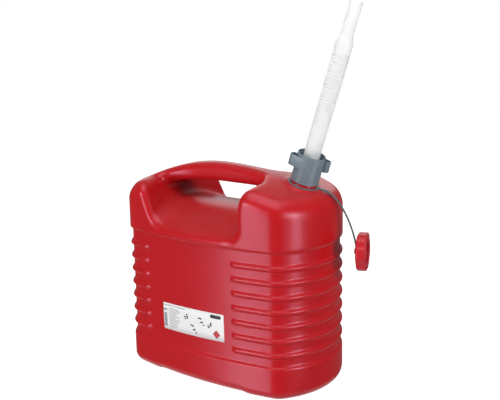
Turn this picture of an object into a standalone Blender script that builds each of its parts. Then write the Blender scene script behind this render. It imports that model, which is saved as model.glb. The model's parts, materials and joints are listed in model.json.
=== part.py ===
"""A 20 litre fuel can with a tilted neck, a screwed-on pouring spout and a cap on a strap.

The can stands on z = 0 with the middle of its base at the origin. The neck end is at +X,
the labelled long side is at -Y. All lengths are in metres.
"""
import math

import bmesh
import bpy
from mathutils import Matrix, Vector

# --- driving dimensions -------------------------------------------------------------------
# can body, seen from above: two long bowed faces, two bowed ends, round corners
BODY_LENGTH = 0.3892
BODY_DEPTH = 0.2264
LONG_FACE_RADIUS = 0.740
END_FACE_FLATNESS = 0.0228
CORNER_RADIUS = 0.035

# can body, from the ground up
BAND_TOP = 0.0570
FIRST_RIB = 0.0767
RIB_PITCH = 0.0240
RIB_COUNT = 7
RIB_HALF_WIDTH = 0.0060
RIB_CREST_HALF_WIDTH = 0.0018
PANEL_RECESS = 0.0043
SHOULDER_GAP = 0.0260
STEP_HEIGHT = 0.0035
RIB_RUN_NECK_SIDE = 0.1206
RIB_RUN_FAR_SIDE = 0.0856
RIB_END_BLEND = 0.008
LONG_FACE_SHARE = 0.6

# rounded edges of the body
BASE_EDGE_RADIUS = 0.018
TOP_EDGE_RADIUS = 0.022

# roof: rise above the shoulder, place of its peak, and how it falls away
ROOF_RISE = 0.1153
ROOF_PEAK_X = -0.020
ROOF_FAR_CURVE = 1.50
ROOF_NEAR_SLOPE = 0.110
ROOF_NEAR_ROUND = 0.050
ROOF_SIDE_SLOPE = 0.150
ROOF_SIDE_ROUND = 0.025
ROOF_RING_SHARES = (0.35, 0.70)
ROOF_RING_PULL = 0.25
RIDGE_LINE_SHARE = 0.92
NECK_PLANE_RUN = 0.045
NECK_PLANE_BLEND = 0.008

# wall and base
WALL = 0.0022
BASE_RELIEF_DEPTH = 0.0025
BASE_FOOT_LENGTH = 0.0986
BASE_RELIEF_WIDTH = 0.034

# hand scoops under the handle
SCOOP_RIDGE_RISE = 0.0485
SCOOP_SIDE_DROP = 0.0390
SCOOP_TO_NECK = 0.0590
SCOOP_TO_FAR_END = 0.0936
SCOOP_FAR_LEAN = 0.46
SCOOP_FAR_SPLAY = 0.16
SCOOP_CORNER_RADIUS = 0.018

# handle bar
HANDLE_HALF_WIDTH = 0.0190
HANDLE_THICKNESS = 0.0320
HANDLE_UNDERSIDE_CURVE = 0.90
HANDLE_FLARE = 0.010
HANDLE_FAR_ROOT = 0.046
HANDLE_NEAR_ROOT = 0.020
HANDLE_FAR_OVERLAP = 0.010
HANDLE_NEAR_OVERLAP = 0.012
HANDLE_ROOT_DIP = 0.08
HANDLE_ROUNDNESS = 0.75

# neck, tilted towards +X
NECK_FROM_END = 0.0496
NECK_STAND = 0.0073
NECK_TILT = math.radians(18.5)
NECK_RADIUS = 0.0200
NECK_BORE_RADIUS = 0.0165
NECK_HEIGHT = 0.0220
NECK_ROOT_RADIUS = 0.0212
BOSS_RADIUS = 0.0285
BOSS_DEPTH = 0.030
BOSS_FLARE = 0.004
BORE_DEPTH = 0.045

# running and seating clearances
THREAD_GAP = 0.0005
SEAT_GAP = 0.0003
CUT_OVERRUN = 0.020

# union nut
NUT_HEIGHT = 0.0470
NUT_WALL = 0.0025
NUT_SHELF = 0.0030
NUT_SLEEVE_WALL = 0.0016
LOOP_HEIGHT = 0.0185
LOOP_RIM_DROP = 0.0055
LOOP_REACH = 0.0050
LOOP_WIDTH = 0.0145
LOOP_WALL = 0.0020
LOOP_STAND_OFF = 0.0003

# pouring spout, measured along the neck axis from the neck plane
SPOUT_RADIUS = 0.0133
SPOUT_WALL = 0.0014
SPOUT_FLANGE_RADIUS = 0.0196
SPOUT_FLANGE = 0.0024
SEAL_THICKNESS = 0.0020
CAP_SEAL_LIP = 0.0015
BELLOWS_START = 0.1180
BELLOWS_LENGTH = 0.1030
BELLOWS_RADIUS = 0.0141
NOZZLE_SHOULDER_RADIUS = 0.0140
NOZZLE_SHOULDER = 0.0060
NOZZLE_TAPER = 0.0230
NOZZLE_RADIUS = 0.0098
NOZZLE_LENGTH = 0.0750

# strap: ring round the neck root, band and eyelet
STRAP_AZIMUTH = math.radians(21.0)
RING_OUTER_RADIUS = 0.0256
RING_THICKNESS = 0.0026
RING_DROP = 0.0040
RING_LUG_LENGTH = 0.0050
RING_LUG_ROOT = 0.0030
BAND_WIDTH = 0.0050
BAND_THICKNESS = 0.0030
BAND_REACH = 0.0548
BAND_DROP = 0.0938
BAND_START_PULL = (0.0225, 0.0010)
BAND_END_PULL = (0.0033, 0.0368)
EYELET_RADIUS = 0.0070
EYELET_HOLE_RADIUS = 0.0035
EYELET_OVERLAP = 0.0020

# screw cap
CAP_LOBES = 6
CAP_RADIUS = 0.0315
CAP_LOBE_DEPTH = 0.0016
CAP_GROOVE_SHARPNESS = 6
CAP_EDGE = 0.0012
CAP_GRIP_DEPTH = 0.0165
CAP_SKIRT_DEPTH = 0.0175
CAP_TOP_THICKNESS = 0.0030
CAP_SKIRT_WALL = 0.0040
CAP_GROOVE_OUTER_RADIUS = 0.0272
CAP_STUD_RADIUS = 0.0030
CAP_STUD_HEAD_RADIUS = 0.0048
CAP_STUD_HEAD = 0.0014
CAP_STUD_CHAMFER = 0.0006

# label
LABEL_CENTRE_X = -0.0090
LABEL_CENTRE_Z = 0.1075
LABEL_LENGTH = 0.1320
LABEL_HEIGHT = 0.0470
LABEL_THICKNESS = 0.0004
LABEL_TURN = math.radians(1.0)

# mesh fineness
END_STEPS = 5
CORNER_STEPS = 5
LONG_STEPS = 9
ROUND_STEPS = 36

# --- sizes that follow from the ones above ------------------------------------------------
HALF_LENGTH = BODY_LENGTH / 2
HALF_DEPTH = BODY_DEPTH / 2
END_FACE_RADIUS = HALF_DEPTH + END_FACE_FLATNESS
SHOULDER_Z = FIRST_RIB + (RIB_COUNT - 1) * RIB_PITCH + SHOULDER_GAP
ROOF_HEIGHT = SHOULDER_Z + ROOF_RISE
RIB_END_NECK_SIDE = HALF_LENGTH - RIB_RUN_NECK_SIDE
RIB_END_FAR_SIDE = RIB_RUN_FAR_SIDE - HALF_LENGTH
INNER_INSET = PANEL_RECESS + WALL
CAVITY_FLOOR = WALL + BASE_RELIEF_DEPTH
NECK_X = HALF_LENGTH - NECK_FROM_END
NECK_PLANE_START = NECK_X - NECK_PLANE_RUN
SCOOP_RIDGE_Z = SHOULDER_Z + SCOOP_RIDGE_RISE
SCOOP_NECK_SIDE_X = NECK_X - SCOOP_TO_NECK
SCOOP_FAR_SIDE_X = SCOOP_TO_FAR_END - HALF_LENGTH
SCOOP_TOP = ROOF_HEIGHT + CUT_OVERRUN
HANDLE_UNDERSIDE_Z = ROOF_HEIGHT - HANDLE_THICKNESS
NUT_BORE_RADIUS = NECK_RADIUS + THREAD_GAP
NUT_RADIUS = NUT_BORE_RADIUS + NUT_WALL
SEAL_START = NECK_HEIGHT + SEAT_GAP
FLANGE_START = SEAL_START + SEAL_THICKNESS + SEAT_GAP
SHELF_START = FLANGE_START + SPOUT_FLANGE + SEAT_GAP
BELLOWS_END = BELLOWS_START + BELLOWS_LENGTH
BEND_CENTRE = (BELLOWS_START + BELLOWS_END) / 2
RING_HOLE_RADIUS = NECK_ROOT_RADIUS + THREAD_GAP
RING_BASE = -RING_DROP - RING_THICKNESS
CAP_FACE_GAP = SEAT_GAP + BAND_THICKNESS / 2
CAP_SKIRT_RADIUS = NUT_BORE_RADIUS + CAP_SKIRT_WALL
CAP_CENTRE_DROP = BAND_DROP + EYELET_RADIUS - EYELET_OVERLAP


# --- small tools --------------------------------------------------------------------------
def clear_scene():
    for old in list(bpy.data.objects):
        bpy.data.objects.remove(old, do_unlink=True)


def make_material(name, colour, roughness):
    material = bpy.data.materials.new(name)
    material.use_nodes = True
    shader = material.node_tree.nodes["Principled BSDF"]
    shader.inputs["Base Color"].default_value = (*colour, 1.0)
    shader.inputs["Roughness"].default_value = roughness
    shader.inputs["Metallic"].default_value = 0.0
    return material


def add_object(name, bm, material=None, parent=None):
    bmesh.ops.recalc_face_normals(bm, faces=bm.faces)
    mesh = bpy.data.meshes.new(name)
    bm.to_mesh(mesh)
    bm.free()
    mesh.shade_smooth()
    mesh.set_sharp_from_angle(angle=math.radians(30))
    obj = bpy.data.objects.new(name, mesh)
    bpy.context.scene.collection.objects.link(obj)
    if material:
        mesh.materials.append(material)
    obj.parent = parent
    return obj


def as_tool(obj):
    """Mark an object as a cutter or an addition that isn't a piece of its own."""
    obj.hide_render = True
    obj.display_type = "WIRE"
    return obj


def apply_tool(target, tool, operation):
    step = target.modifiers.new(tool.name, "BOOLEAN")
    step.operation = operation
    step.solver = "EXACT"
    step.object = as_tool(tool)


def add_empty(name, place, turn=Matrix.Identity(4), parent=None):
    empty = bpy.data.objects.new(name, None)
    bpy.context.scene.collection.objects.link(empty)
    empty.parent = parent
    empty.matrix_local = Matrix.Translation(place) @ turn
    return empty


def loft_into(bm, loops, close_ends=True):
    """Join closed loops of equal length with quads; returns the loops' vertices."""
    rows = [[bm.verts.new(point) for point in loop] for loop in loops]
    count = len(rows[0])
    for low, high in zip(rows, rows[1:]):
        for i in range(count):
            j = (i + 1) % count
            bm.faces.new((low[i], low[j], high[j], high[i]))
    if close_ends:
        bm.faces.new(rows[0])
        bm.faces.new(rows[-1])
    return rows


def loft(name, loops, material=None, parent=None):
    bm = bmesh.new()
    loft_into(bm, loops)
    return add_object(name, bm, material, parent)


def turned(name, profile, material=None, parent=None, steps=ROUND_STEPS):
    """Turn a closed profile of (radius, height) points about the local Z axis."""
    bm = bmesh.new()
    columns = []
    for k in range(steps):
        angle = 2 * math.pi * k / steps
        columns.append([(r * math.cos(angle), r * math.sin(angle), z) for r, z in profile])
    rows = [[bm.verts.new(point) for point in column] for column in columns]
    for k in range(steps):
        here, there = rows[k], rows[(k + 1) % steps]
        for i in range(len(profile)):
            j = (i + 1) % len(profile)
            bm.faces.new((here[i], there[i], there[j], here[j]))
    return add_object(name, bm, material, parent)


def disc_stack(name, sections, material=None, parent=None, steps=ROUND_STEPS):
    """A solid of round sections (radius, height) along the local Z axis."""
    loops = []
    for radius, height in sections:
        angles = [2 * math.pi * k / steps for k in range(steps)]
        loops.append([(radius * math.cos(a), radius * math.sin(a), height) for a in angles])
    return loft(name, loops, material, parent)


# --- shape of the can body ----------------------------------------------------------------
def outline(inset):
    """The body's outline moved inwards, anticlockwise from the middle of the +X end.

    Each quarter is an end arc, a corner arc and a long arc that meet without a kink.
    """
    end_x = HALF_LENGTH - END_FACE_RADIUS
    long_y = HALF_DEPTH - LONG_FACE_RADIUS
    end_reach = END_FACE_RADIUS - CORNER_RADIUS
    long_reach = LONG_FACE_RADIUS - CORNER_RADIUS
    # the corner arc's centre is end_reach from (end_x, 0) and long_reach from (0, long_y)
    span = math.hypot(end_x, long_y)
    along = (span ** 2 + end_reach ** 2 - long_reach ** 2) / (2 * span)
    across = math.sqrt(end_reach ** 2 - along ** 2)
    towards = Vector((-end_x / span, long_y / span))
    corner = Vector((end_x, 0)) + along * towards + across * Vector((-towards.y, towards.x))
    if corner.y < 0:
        corner = Vector((end_x, 0)) + along * towards - across * Vector((-towards.y, towards.x))
    end_angle = math.atan2(corner.y, corner.x - end_x)
    long_angle = math.atan2(corner.y - long_y, corner.x)
    quarter = []

    def arc(centre, radius, start, stop, steps):
        for k in range(steps):
            angle = start + (stop - start) * k / steps
            quarter.append((centre[0] + radius * math.cos(angle), centre[1] + radius * math.sin(angle)))

    arc((end_x, 0), END_FACE_RADIUS - inset, 0, end_angle, END_STEPS)
    arc(corner, CORNER_RADIUS - inset, end_angle, long_angle, CORNER_STEPS)
    arc((0, long_y), LONG_FACE_RADIUS - inset, long_angle, math.pi / 2, LONG_STEPS)
    mid = (0, HALF_DEPTH - inset)
    second = [mid] + [(-x, y) for x, y in reversed(quarter[1:])]
    half = quarter + second
    other = [(-x, -y) for x, y in half]
    return half + other


def smooth_ramp(x, start, blend):
    """Zero before start, rising with slope one after it."""
    u = (x - start) / blend
    return blend * math.log1p(math.exp(min(u, 40))) if u < 40 else x - start


def ridge_height(x):
    """Height of the roof's middle line: an arch that turns into the tilted neck plane."""
    u = x - ROOF_PEAK_X
    if u < 0:
        return ROOF_HEIGHT - ROOF_FAR_CURVE * u * u
    fall = ROOF_NEAR_SLOPE * (math.hypot(u, ROOF_NEAR_ROUND) - ROOF_NEAR_ROUND)
    extra = math.tan(NECK_TILT) - ROOF_NEAR_SLOPE
    return ROOF_HEIGHT - fall - extra * smooth_ramp(x, NECK_PLANE_START, NECK_PLANE_BLEND)


def roof_height(x, y):
    side_fall = ROOF_SIDE_SLOPE * (math.hypot(y, ROOF_SIDE_ROUND) - ROOF_SIDE_ROUND)
    return ridge_height(x) - side_fall


def rib_share(x, y):
    """One where the ribs run, zero on the plain middle of the long faces."""
    if abs(y) < HALF_DEPTH * LONG_FACE_SHARE:
        return 1.0
    beyond_neck_side = (x - RIB_END_NECK_SIDE) / RIB_END_BLEND
    beyond_far_side = (RIB_END_FAR_SIDE - x) / RIB_END_BLEND
    return min(1.0, max(0.0, beyond_neck_side, beyond_far_side))


def rib_ring(z, recess_on_ribs):
    """A ring at height z whose ribbed stretches are recessed by a share of PANEL_RECESS."""
    full = outline(0.0)
    deep = outline(PANEL_RECESS)
    ring = []
    for (fx, fy), (dx, dy) in zip(full, deep):
        share = 1.0 - (1.0 - recess_on_ribs) * rib_share(fx, fy)
        ring.append((fx + (dx - fx) * share, fy + (dy - fy) * share, z))
    return ring


def flat_ring(inset, z):
    return [(x, y, z) for x, y in outline(inset)]


def roof_rings(inset, lowering):
    """Rings over the rounded top edge and in towards the ridge."""
    rings = []
    radius = TOP_EDGE_RADIUS - inset
    for step in range(5):
        angle = math.radians(90 * step / 4)
        inward = inset + radius * (1 - math.cos(angle))
        down = radius * (1 - math.sin(angle)) + lowering
        rings.append([(x, y, roof_height(x, y) - down) for x, y in outline(inward)])
    for share in ROOF_RING_SHARES:
        ring = []
        for x, y in outline(TOP_EDGE_RADIUS):
            across = y * (1 - share)
            along = x * (1 - ROOF_RING_PULL * share)
            ring.append((along, across, roof_height(along, across) - lowering))
        rings.append(ring)
    return rings


def close_roof(bm, last_row, lowering):
    """Close the roof with a ridge line that both long sides share."""
    count = len(last_row)
    half = count // 2
    ridge = []
    for i in range(half + 1):
        along = last_row[i].co.x * RIDGE_LINE_SHARE
        ridge.append(bm.verts.new((along, 0, roof_height(along, 0) - lowering)))
    for i in range(half):
        near = (last_row[i], last_row[i + 1], ridge[i + 1], ridge[i])
        bm.faces.new(near)
        far = (last_row[-i - 1], last_row[-i], ridge[i], ridge[i + 1])
        bm.faces.new(far)


def body_block(name, rings, lowering, material=None):
    bm = bmesh.new()
    rows = loft_into(bm, rings, close_ends=False)
    bm.faces.new(rows[0])
    close_roof(bm, rows[-1], lowering)
    return add_object(name, bm, material)


def outer_rings():
    rings = []
    for step in range(4):
        angle = math.radians(90 * step / 3)
        inset = BASE_EDGE_RADIUS * (1 - math.sin(angle))
        rings.append(flat_ring(inset, BASE_EDGE_RADIUS * (1 - math.cos(angle))))
    rings.append(flat_ring(0.0, BAND_TOP - STEP_HEIGHT / 2))
    rings.append(flat_ring(PANEL_RECESS, BAND_TOP + STEP_HEIGHT / 2))
    for k in range(RIB_COUNT):
        middle = FIRST_RIB + k * RIB_PITCH
        rings.append(rib_ring(middle - RIB_HALF_WIDTH, 1.0))
        rings.append(rib_ring(middle - RIB_CREST_HALF_WIDTH, 0.0))
        rings.append(rib_ring(middle + RIB_CREST_HALF_WIDTH, 0.0))
        rings.append(rib_ring(middle + RIB_HALF_WIDTH, 1.0))
    rings.append(flat_ring(PANEL_RECESS, SHOULDER_Z - STEP_HEIGHT / 2))
    rings.append(flat_ring(0.0, SHOULDER_Z + STEP_HEIGHT / 2))
    return rings + roof_rings(0.0, 0.0)


def inner_rings():
    above_step = SHOULDER_Z + STEP_HEIGHT
    rings = [
        flat_ring(INNER_INSET + BASE_EDGE_RADIUS / 2, CAVITY_FLOOR),
        flat_ring(INNER_INSET, CAVITY_FLOOR + BASE_EDGE_RADIUS / 2),
        flat_ring(INNER_INSET, above_step),
        flat_ring(WALL, above_step + PANEL_RECESS),
    ]
    return rings + roof_rings(WALL, WALL)


def scoop_cutter(name, grow):
    """The space under and beside the handle, right through the can and open above.

    Its floor is a saddle that falls from the ridge to both long faces.
    """
    loops = []
    reach = HALF_DEPTH + CUT_OVERRUN
    stations = 13
    radius = SCOOP_CORNER_RADIUS + grow
    for k in range(stations):
        y = -reach + 2 * reach * k / (stations - 1)
        floor = SCOOP_RIDGE_Z - SCOOP_SIDE_DROP * (y / HALF_DEPTH) ** 2 - grow
        near_x = SCOOP_NECK_SIDE_X + grow

        def far_x(z):
            splay = SCOOP_FAR_SPLAY * (HALF_DEPTH - abs(y))
            lean = SCOOP_FAR_LEAN * (z - SCOOP_RIDGE_Z)
            return SCOOP_FAR_SIDE_X - lean - splay - grow

        loop = [(near_x, y, SCOOP_TOP)]
        for step in range(5):
            angle = math.radians(-90 * step / 4)
            loop.append((near_x - radius + radius * math.cos(angle), y,
                         floor + radius + radius * math.sin(angle)))
        for step in range(5):
            angle = math.radians(-90 - 90 * step / 4)
            z = floor + radius + radius * math.sin(angle)
            loop.append((far_x(z) + radius + radius * math.cos(angle), y, z))
        loop.append((far_x(SCOOP_TOP), y, SCOOP_TOP))
        loops.append(loop)
    return loft(name, loops)


def handle_bar(name, shrink):
    """The bar over the scoops, a rounded section carried along the arch of the roof."""
    loops = []
    start = SCOOP_FAR_SIDE_X - HANDLE_FAR_ROOT
    stop = SCOOP_NECK_SIDE_X + HANDLE_NEAR_ROOT
    stations = 15
    around = 20
    for k in range(stations):
        x = start + (stop - start) * k / (stations - 1)
        beyond_far = SCOOP_FAR_SIDE_X - HANDLE_FAR_OVERLAP - x
        beyond_near = x - SCOOP_NECK_SIDE_X + HANDLE_NEAR_OVERLAP
        top = ridge_height(x) - shrink - HANDLE_ROOT_DIP * max(0.0, beyond_far, beyond_near)
        sag = HANDLE_UNDERSIDE_CURVE * min(0.0, x - ROOF_PEAK_X) ** 2
        bottom = HANDLE_UNDERSIDE_Z - sag + shrink
        end_share = abs(2 * k / (stations - 1) - 1)
        half_width = HANDLE_HALF_WIDTH + HANDLE_FLARE * end_share ** 4 - shrink
        middle = (top + bottom) / 2
        half_height = (top - bottom) / 2
        loop = []
        for step in range(around):
            angle = 2 * math.pi * step / around
            c, s = math.cos(angle), math.sin(angle)
            y = half_width * math.copysign(abs(c) ** HANDLE_ROUNDNESS, c)
            z = middle + half_height * math.copysign(abs(s) ** HANDLE_ROUNDNESS, s)
            loop.append((x, y, z))
        loops.append(loop)
    return loft(name, loops)


def base_relief(side):
    bm = bmesh.new()
    relief_length = BODY_LENGTH - 2 * BASE_FOOT_LENGTH
    size = (relief_length, 2 * BASE_RELIEF_WIDTH, 2 * BASE_RELIEF_DEPTH)
    bmesh.ops.create_cube(bm, size=1.0)
    bmesh.ops.scale(bm, vec=size, verts=bm.verts)
    bmesh.ops.translate(bm, vec=(0, side * HALF_DEPTH, 0), verts=bm.verts)
    return add_object("relief_cutter_near" if side < 0 else "relief_cutter_far", bm)


def tank_shell(material, neck):
    tank = body_block("tank_shell", outer_rings(), 0.0, material)
    cavity = body_block("cavity_cutter", inner_rings(), WALL)
    apply_tool(cavity, scoop_cutter("cavity_scoop", WALL), "DIFFERENCE")
    apply_tool(cavity, handle_bar("cavity_handle", WALL), "UNION")
    apply_tool(tank, scoop_cutter("scoop", 0.0), "DIFFERENCE")
    apply_tool(tank, handle_bar("handle_addition", 0.0), "UNION")
    boss_top = RING_BASE - SEAT_GAP
    boss = disc_stack("boss_addition", [(BOSS_RADIUS + BOSS_FLARE, boss_top - BOSS_DEPTH),
                                        (BOSS_RADIUS, boss_top)], parent=neck)
    apply_tool(tank, boss, "UNION")
    root_top = -SEAT_GAP - (NECK_ROOT_RADIUS - NECK_RADIUS)
    tube = disc_stack("neck_addition", [
        (NECK_ROOT_RADIUS, boss_top - BOSS_DEPTH / 2), (NECK_ROOT_RADIUS, root_top),
        (NECK_RADIUS, -SEAT_GAP), (NECK_RADIUS, NECK_HEIGHT)], parent=neck)
    apply_tool(tank, tube, "UNION")
    apply_tool(tank, cavity, "DIFFERENCE")
    bore = disc_stack("bore_cutter", [(NECK_BORE_RADIUS, -BORE_DEPTH),
                                      (NECK_BORE_RADIUS, NECK_HEIGHT + CUT_OVERRUN)], parent=neck)
    apply_tool(tank, bore, "DIFFERENCE")
    for side in (-1, 1):
        apply_tool(tank, base_relief(side), "DIFFERENCE")
    return tank


def front_label(material):
    """A thin sticker that follows the bow of the long face."""
    face_radius = LONG_FACE_RADIUS - PANEL_RECESS
    centre_y = LONG_FACE_RADIUS - HALF_DEPTH
    columns = 9
    loops = []
    for k in range(columns):
        u = LABEL_LENGTH * (k / (columns - 1) - 0.5)
        loop = []
        for v, lift in ((-0.5, 0), (0.5, 0), (0.5, 1), (-0.5, 1)):
            across = v * LABEL_HEIGHT
            x = LABEL_CENTRE_X + u * math.cos(LABEL_TURN) - across * math.sin(LABEL_TURN)
            z = LABEL_CENTRE_Z + u * math.sin(LABEL_TURN) + across * math.cos(LABEL_TURN)
            radius = face_radius + SEAT_GAP + lift * LABEL_THICKNESS
            loop.append((x, centre_y - math.sqrt(radius ** 2 - x ** 2), z))
        loops.append(loop)
    return loft("front_label", loops, material)


# --- pouring spout and union nut ----------------------------------------------------------
def spout_seal(material, neck):
    inner, outer = NECK_BORE_RADIUS, NECK_RADIUS - SEAT_GAP
    low, high = SEAL_START, SEAL_START + SEAL_THICKNESS
    return turned("spout_seal", [(inner, low), (outer, low), (outer, high), (inner, high)],
                  material, neck)


def spout_tube(material, neck):
    bore = SPOUT_RADIUS - SPOUT_WALL
    top = BELLOWS_START - SEAT_GAP
    profile = [
        (bore, FLANGE_START), (SPOUT_FLANGE_RADIUS, FLANGE_START),
        (SPOUT_FLANGE_RADIUS, FLANGE_START + SPOUT_FLANGE),
        (SPOUT_RADIUS, FLANGE_START + SPOUT_FLANGE),
        (SPOUT_RADIUS, top), (bore, top)]
    return turned("spout_tube", profile, material, neck)


def spout_bellows(material, neck):
    """The outer size of the corrugated stretch, as a plain sleeve."""
    bore = SPOUT_RADIUS - SPOUT_WALL
    profile = [(bore, BELLOWS_START), (BELLOWS_RADIUS, BELLOWS_START),
               (BELLOWS_RADIUS, BELLOWS_END), (bore, BELLOWS_END)]
    return turned("spout_bellows", profile, material, neck)


def spout_nozzle(material, bend):
    """Shoulder, taper and filler tube; its origin is the middle of the bellows."""
    base = BELLOWS_LENGTH / 2 + SEAT_GAP
    shoulder = base + NOZZLE_SHOULDER
    taper = shoulder + NOZZLE_TAPER - NOZZLE_SHOULDER
    tip = base + NOZZLE_LENGTH
    wide_bore = NOZZLE_SHOULDER_RADIUS - SPOUT_WALL
    bore = NOZZLE_RADIUS - SPOUT_WALL
    profile = [
        (wide_bore, base), (NOZZLE_SHOULDER_RADIUS, base), (NOZZLE_SHOULDER_RADIUS, shoulder),
        (NOZZLE_RADIUS, taper), (NOZZLE_RADIUS, tip), (bore, tip), (bore, taper),
        (wide_bore, shoulder)]
    return turned("spout_nozzle", profile, material, bend)


def loop_addition(name, side):
    """A flat band bent into a finger loop that leaves the nut along a tangent.

    The two loops are the same shape half a turn apart.
    """
    half = LOOP_WALL / 2
    front_y = half - NUT_RADIUS - LOOP_STAND_OFF
    turn_radius = (LOOP_WIDTH - LOOP_WALL) / 2
    centre = (half + turn_radius - NUT_RADIUS - LOOP_REACH, front_y + turn_radius)
    path = [(LOOP_WALL, front_y), (centre[0], front_y)]
    for step in range(1, 9):
        angle = math.radians(-90 - 180 * step / 8)
        path.append((centre[0] + turn_radius * math.cos(angle),
                     centre[1] + turn_radius * math.sin(angle)))
    back_y = front_y + 2 * turn_radius
    path.append((NUT_SLEEVE_WALL / 2 - math.sqrt(NUT_RADIUS ** 2 - back_y ** 2), back_y))
    top = NUT_HEIGHT - LOOP_RIM_DROP
    bottom = top - LOOP_HEIGHT
    loops = []
    for i, (x, y) in enumerate(path):
        before = Vector(path[max(0, i - 1)])
        after = Vector(path[min(len(path) - 1, i + 1)])
        along = (after - before).normalized()
        out = Vector((along.y, -along.x))
        inner = Vector((x, y)) - out * half
        outer = Vector((x, y)) + out * half
        corners = [(inner, bottom), (outer, bottom), (outer, top), (inner, top)]
        loops.append([(side * p.x, side * p.y, z) for p, z in corners])
    return loops


def union_nut(material, neck):
    sleeve_bore = NUT_RADIUS - NUT_SLEEVE_WALL
    shelf_hole = SPOUT_RADIUS + THREAD_GAP
    shelf_top = SHELF_START + NUT_SHELF
    profile = [
        (NUT_BORE_RADIUS, 0.0), (NUT_RADIUS, 0.0), (NUT_RADIUS, NUT_HEIGHT),
        (sleeve_bore, NUT_HEIGHT), (sleeve_bore, shelf_top), (shelf_hole, shelf_top),
        (shelf_hole, SHELF_START), (NUT_BORE_RADIUS, SHELF_START)]
    nut = turned("union_nut", profile, material, neck)
    for side, name in ((1, "loop_addition_far"), (-1, "loop_addition_near")):
        apply_tool(nut, loft(name, loop_addition(name, side), parent=neck), "UNION")
    clear = disc_stack("nut_clear_cutter", [(sleeve_bore, shelf_top),
                                            (sleeve_bore, NUT_HEIGHT + CUT_OVERRUN)], parent=neck)
    apply_tool(nut, clear, "DIFFERENCE")
    return nut


# --- strap and cap ------------------------------------------------------------------------
def strap_ring(material, neck):
    """Ring under the nut, with the lug that the band grows from."""
    low, high = RING_BASE, RING_BASE + RING_THICKNESS
    ring = turned("strap_ring", [(RING_HOLE_RADIUS, low), (RING_OUTER_RADIUS, low),
                                 (RING_OUTER_RADIUS, high), (RING_HOLE_RADIUS, high)],
                  material, neck)
    bm = bmesh.new()
    reach = RING_LUG_LENGTH + RING_LUG_ROOT
    bmesh.ops.create_cube(bm, size=1.0)
    bmesh.ops.scale(bm, vec=(reach, BAND_WIDTH, RING_THICKNESS), verts=bm.verts)
    bmesh.ops.translate(bm, vec=(RING_OUTER_RADIUS + RING_LUG_LENGTH - reach / 2, 0,
                                 low + RING_THICKNESS / 2), verts=bm.verts)
    bmesh.ops.rotate(bm, matrix=Matrix.Rotation(STRAP_AZIMUTH, 3, "Z"), verts=bm.verts)
    apply_tool(ring, add_object("lug_addition", bm, parent=neck), "UNION")
    return ring


def band_path(steps):
    """Points down the band's middle in its own plane: x outwards, z up, from the lug."""
    points = []
    start = Vector((0.0, 0.0))
    first = Vector(BAND_START_PULL)
    second = Vector((BAND_REACH - BAND_END_PULL[0], BAND_END_PULL[1] - BAND_DROP))
    end = Vector((BAND_REACH, -BAND_DROP))
    for k in range(steps + 1):
        t = k / steps
        u = 1 - t
        point = start * u ** 3 + first * (3 * u * u * t) + second * (3 * u * t * t) + end * t ** 3
        points.append(point)
    return points


def cap_strap(material, hinge):
    """The bent band and the eyelet at its lower end, in the hinge empty's frame."""
    loops = []
    points = band_path(16)
    half_width = BAND_WIDTH / 2
    half = BAND_THICKNESS / 2
    for i, point in enumerate(points):
        before = points[max(0, i - 1)]
        after = points[min(len(points) - 1, i + 1)]
        along = (after - before).normalized()
        out = Vector((-along.y, along.x))
        upper = point + out * half
        lower = point - out * half
        loops.append([(lower.x, -half_width, lower.y), (lower.x, half_width, lower.y),
                      (upper.x, half_width, upper.y), (upper.x, -half_width, upper.y)])
    strap = loft("cap_strap", loops, material, hinge)
    turn = Matrix.Rotation(math.radians(90), 4, "Y")
    place = Matrix.Translation((BAND_REACH, 0, -CAP_CENTRE_DROP)) @ turn
    eyelet = disc_stack("eyelet_addition", [(EYELET_RADIUS, -half), (EYELET_RADIUS, half)],
                        parent=hinge, steps=24)
    eyelet.matrix_local = place
    apply_tool(strap, eyelet, "UNION")
    hole = disc_stack("eyelet_cutter", [(EYELET_HOLE_RADIUS, -BAND_THICKNESS),
                                        (EYELET_HOLE_RADIUS, BAND_THICKNESS)], parent=hinge, steps=24)
    hole.matrix_local = place
    apply_tool(strap, hole, "DIFFERENCE")
    return strap


def lobed_loop(radius, height):
    """A round outline with one shallow flat groove between neighbouring lobes."""
    loop = []
    steps = CAP_LOBES * 8
    for k in range(steps):
        angle = 2 * math.pi * k / steps
        dip = CAP_LOBE_DEPTH * abs(math.cos(CAP_LOBES * angle / 2)) ** CAP_GROOVE_SHARPNESS
        reach = radius - dip
        loop.append((reach * math.cos(angle), reach * math.sin(angle), height))
    return loop


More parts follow.
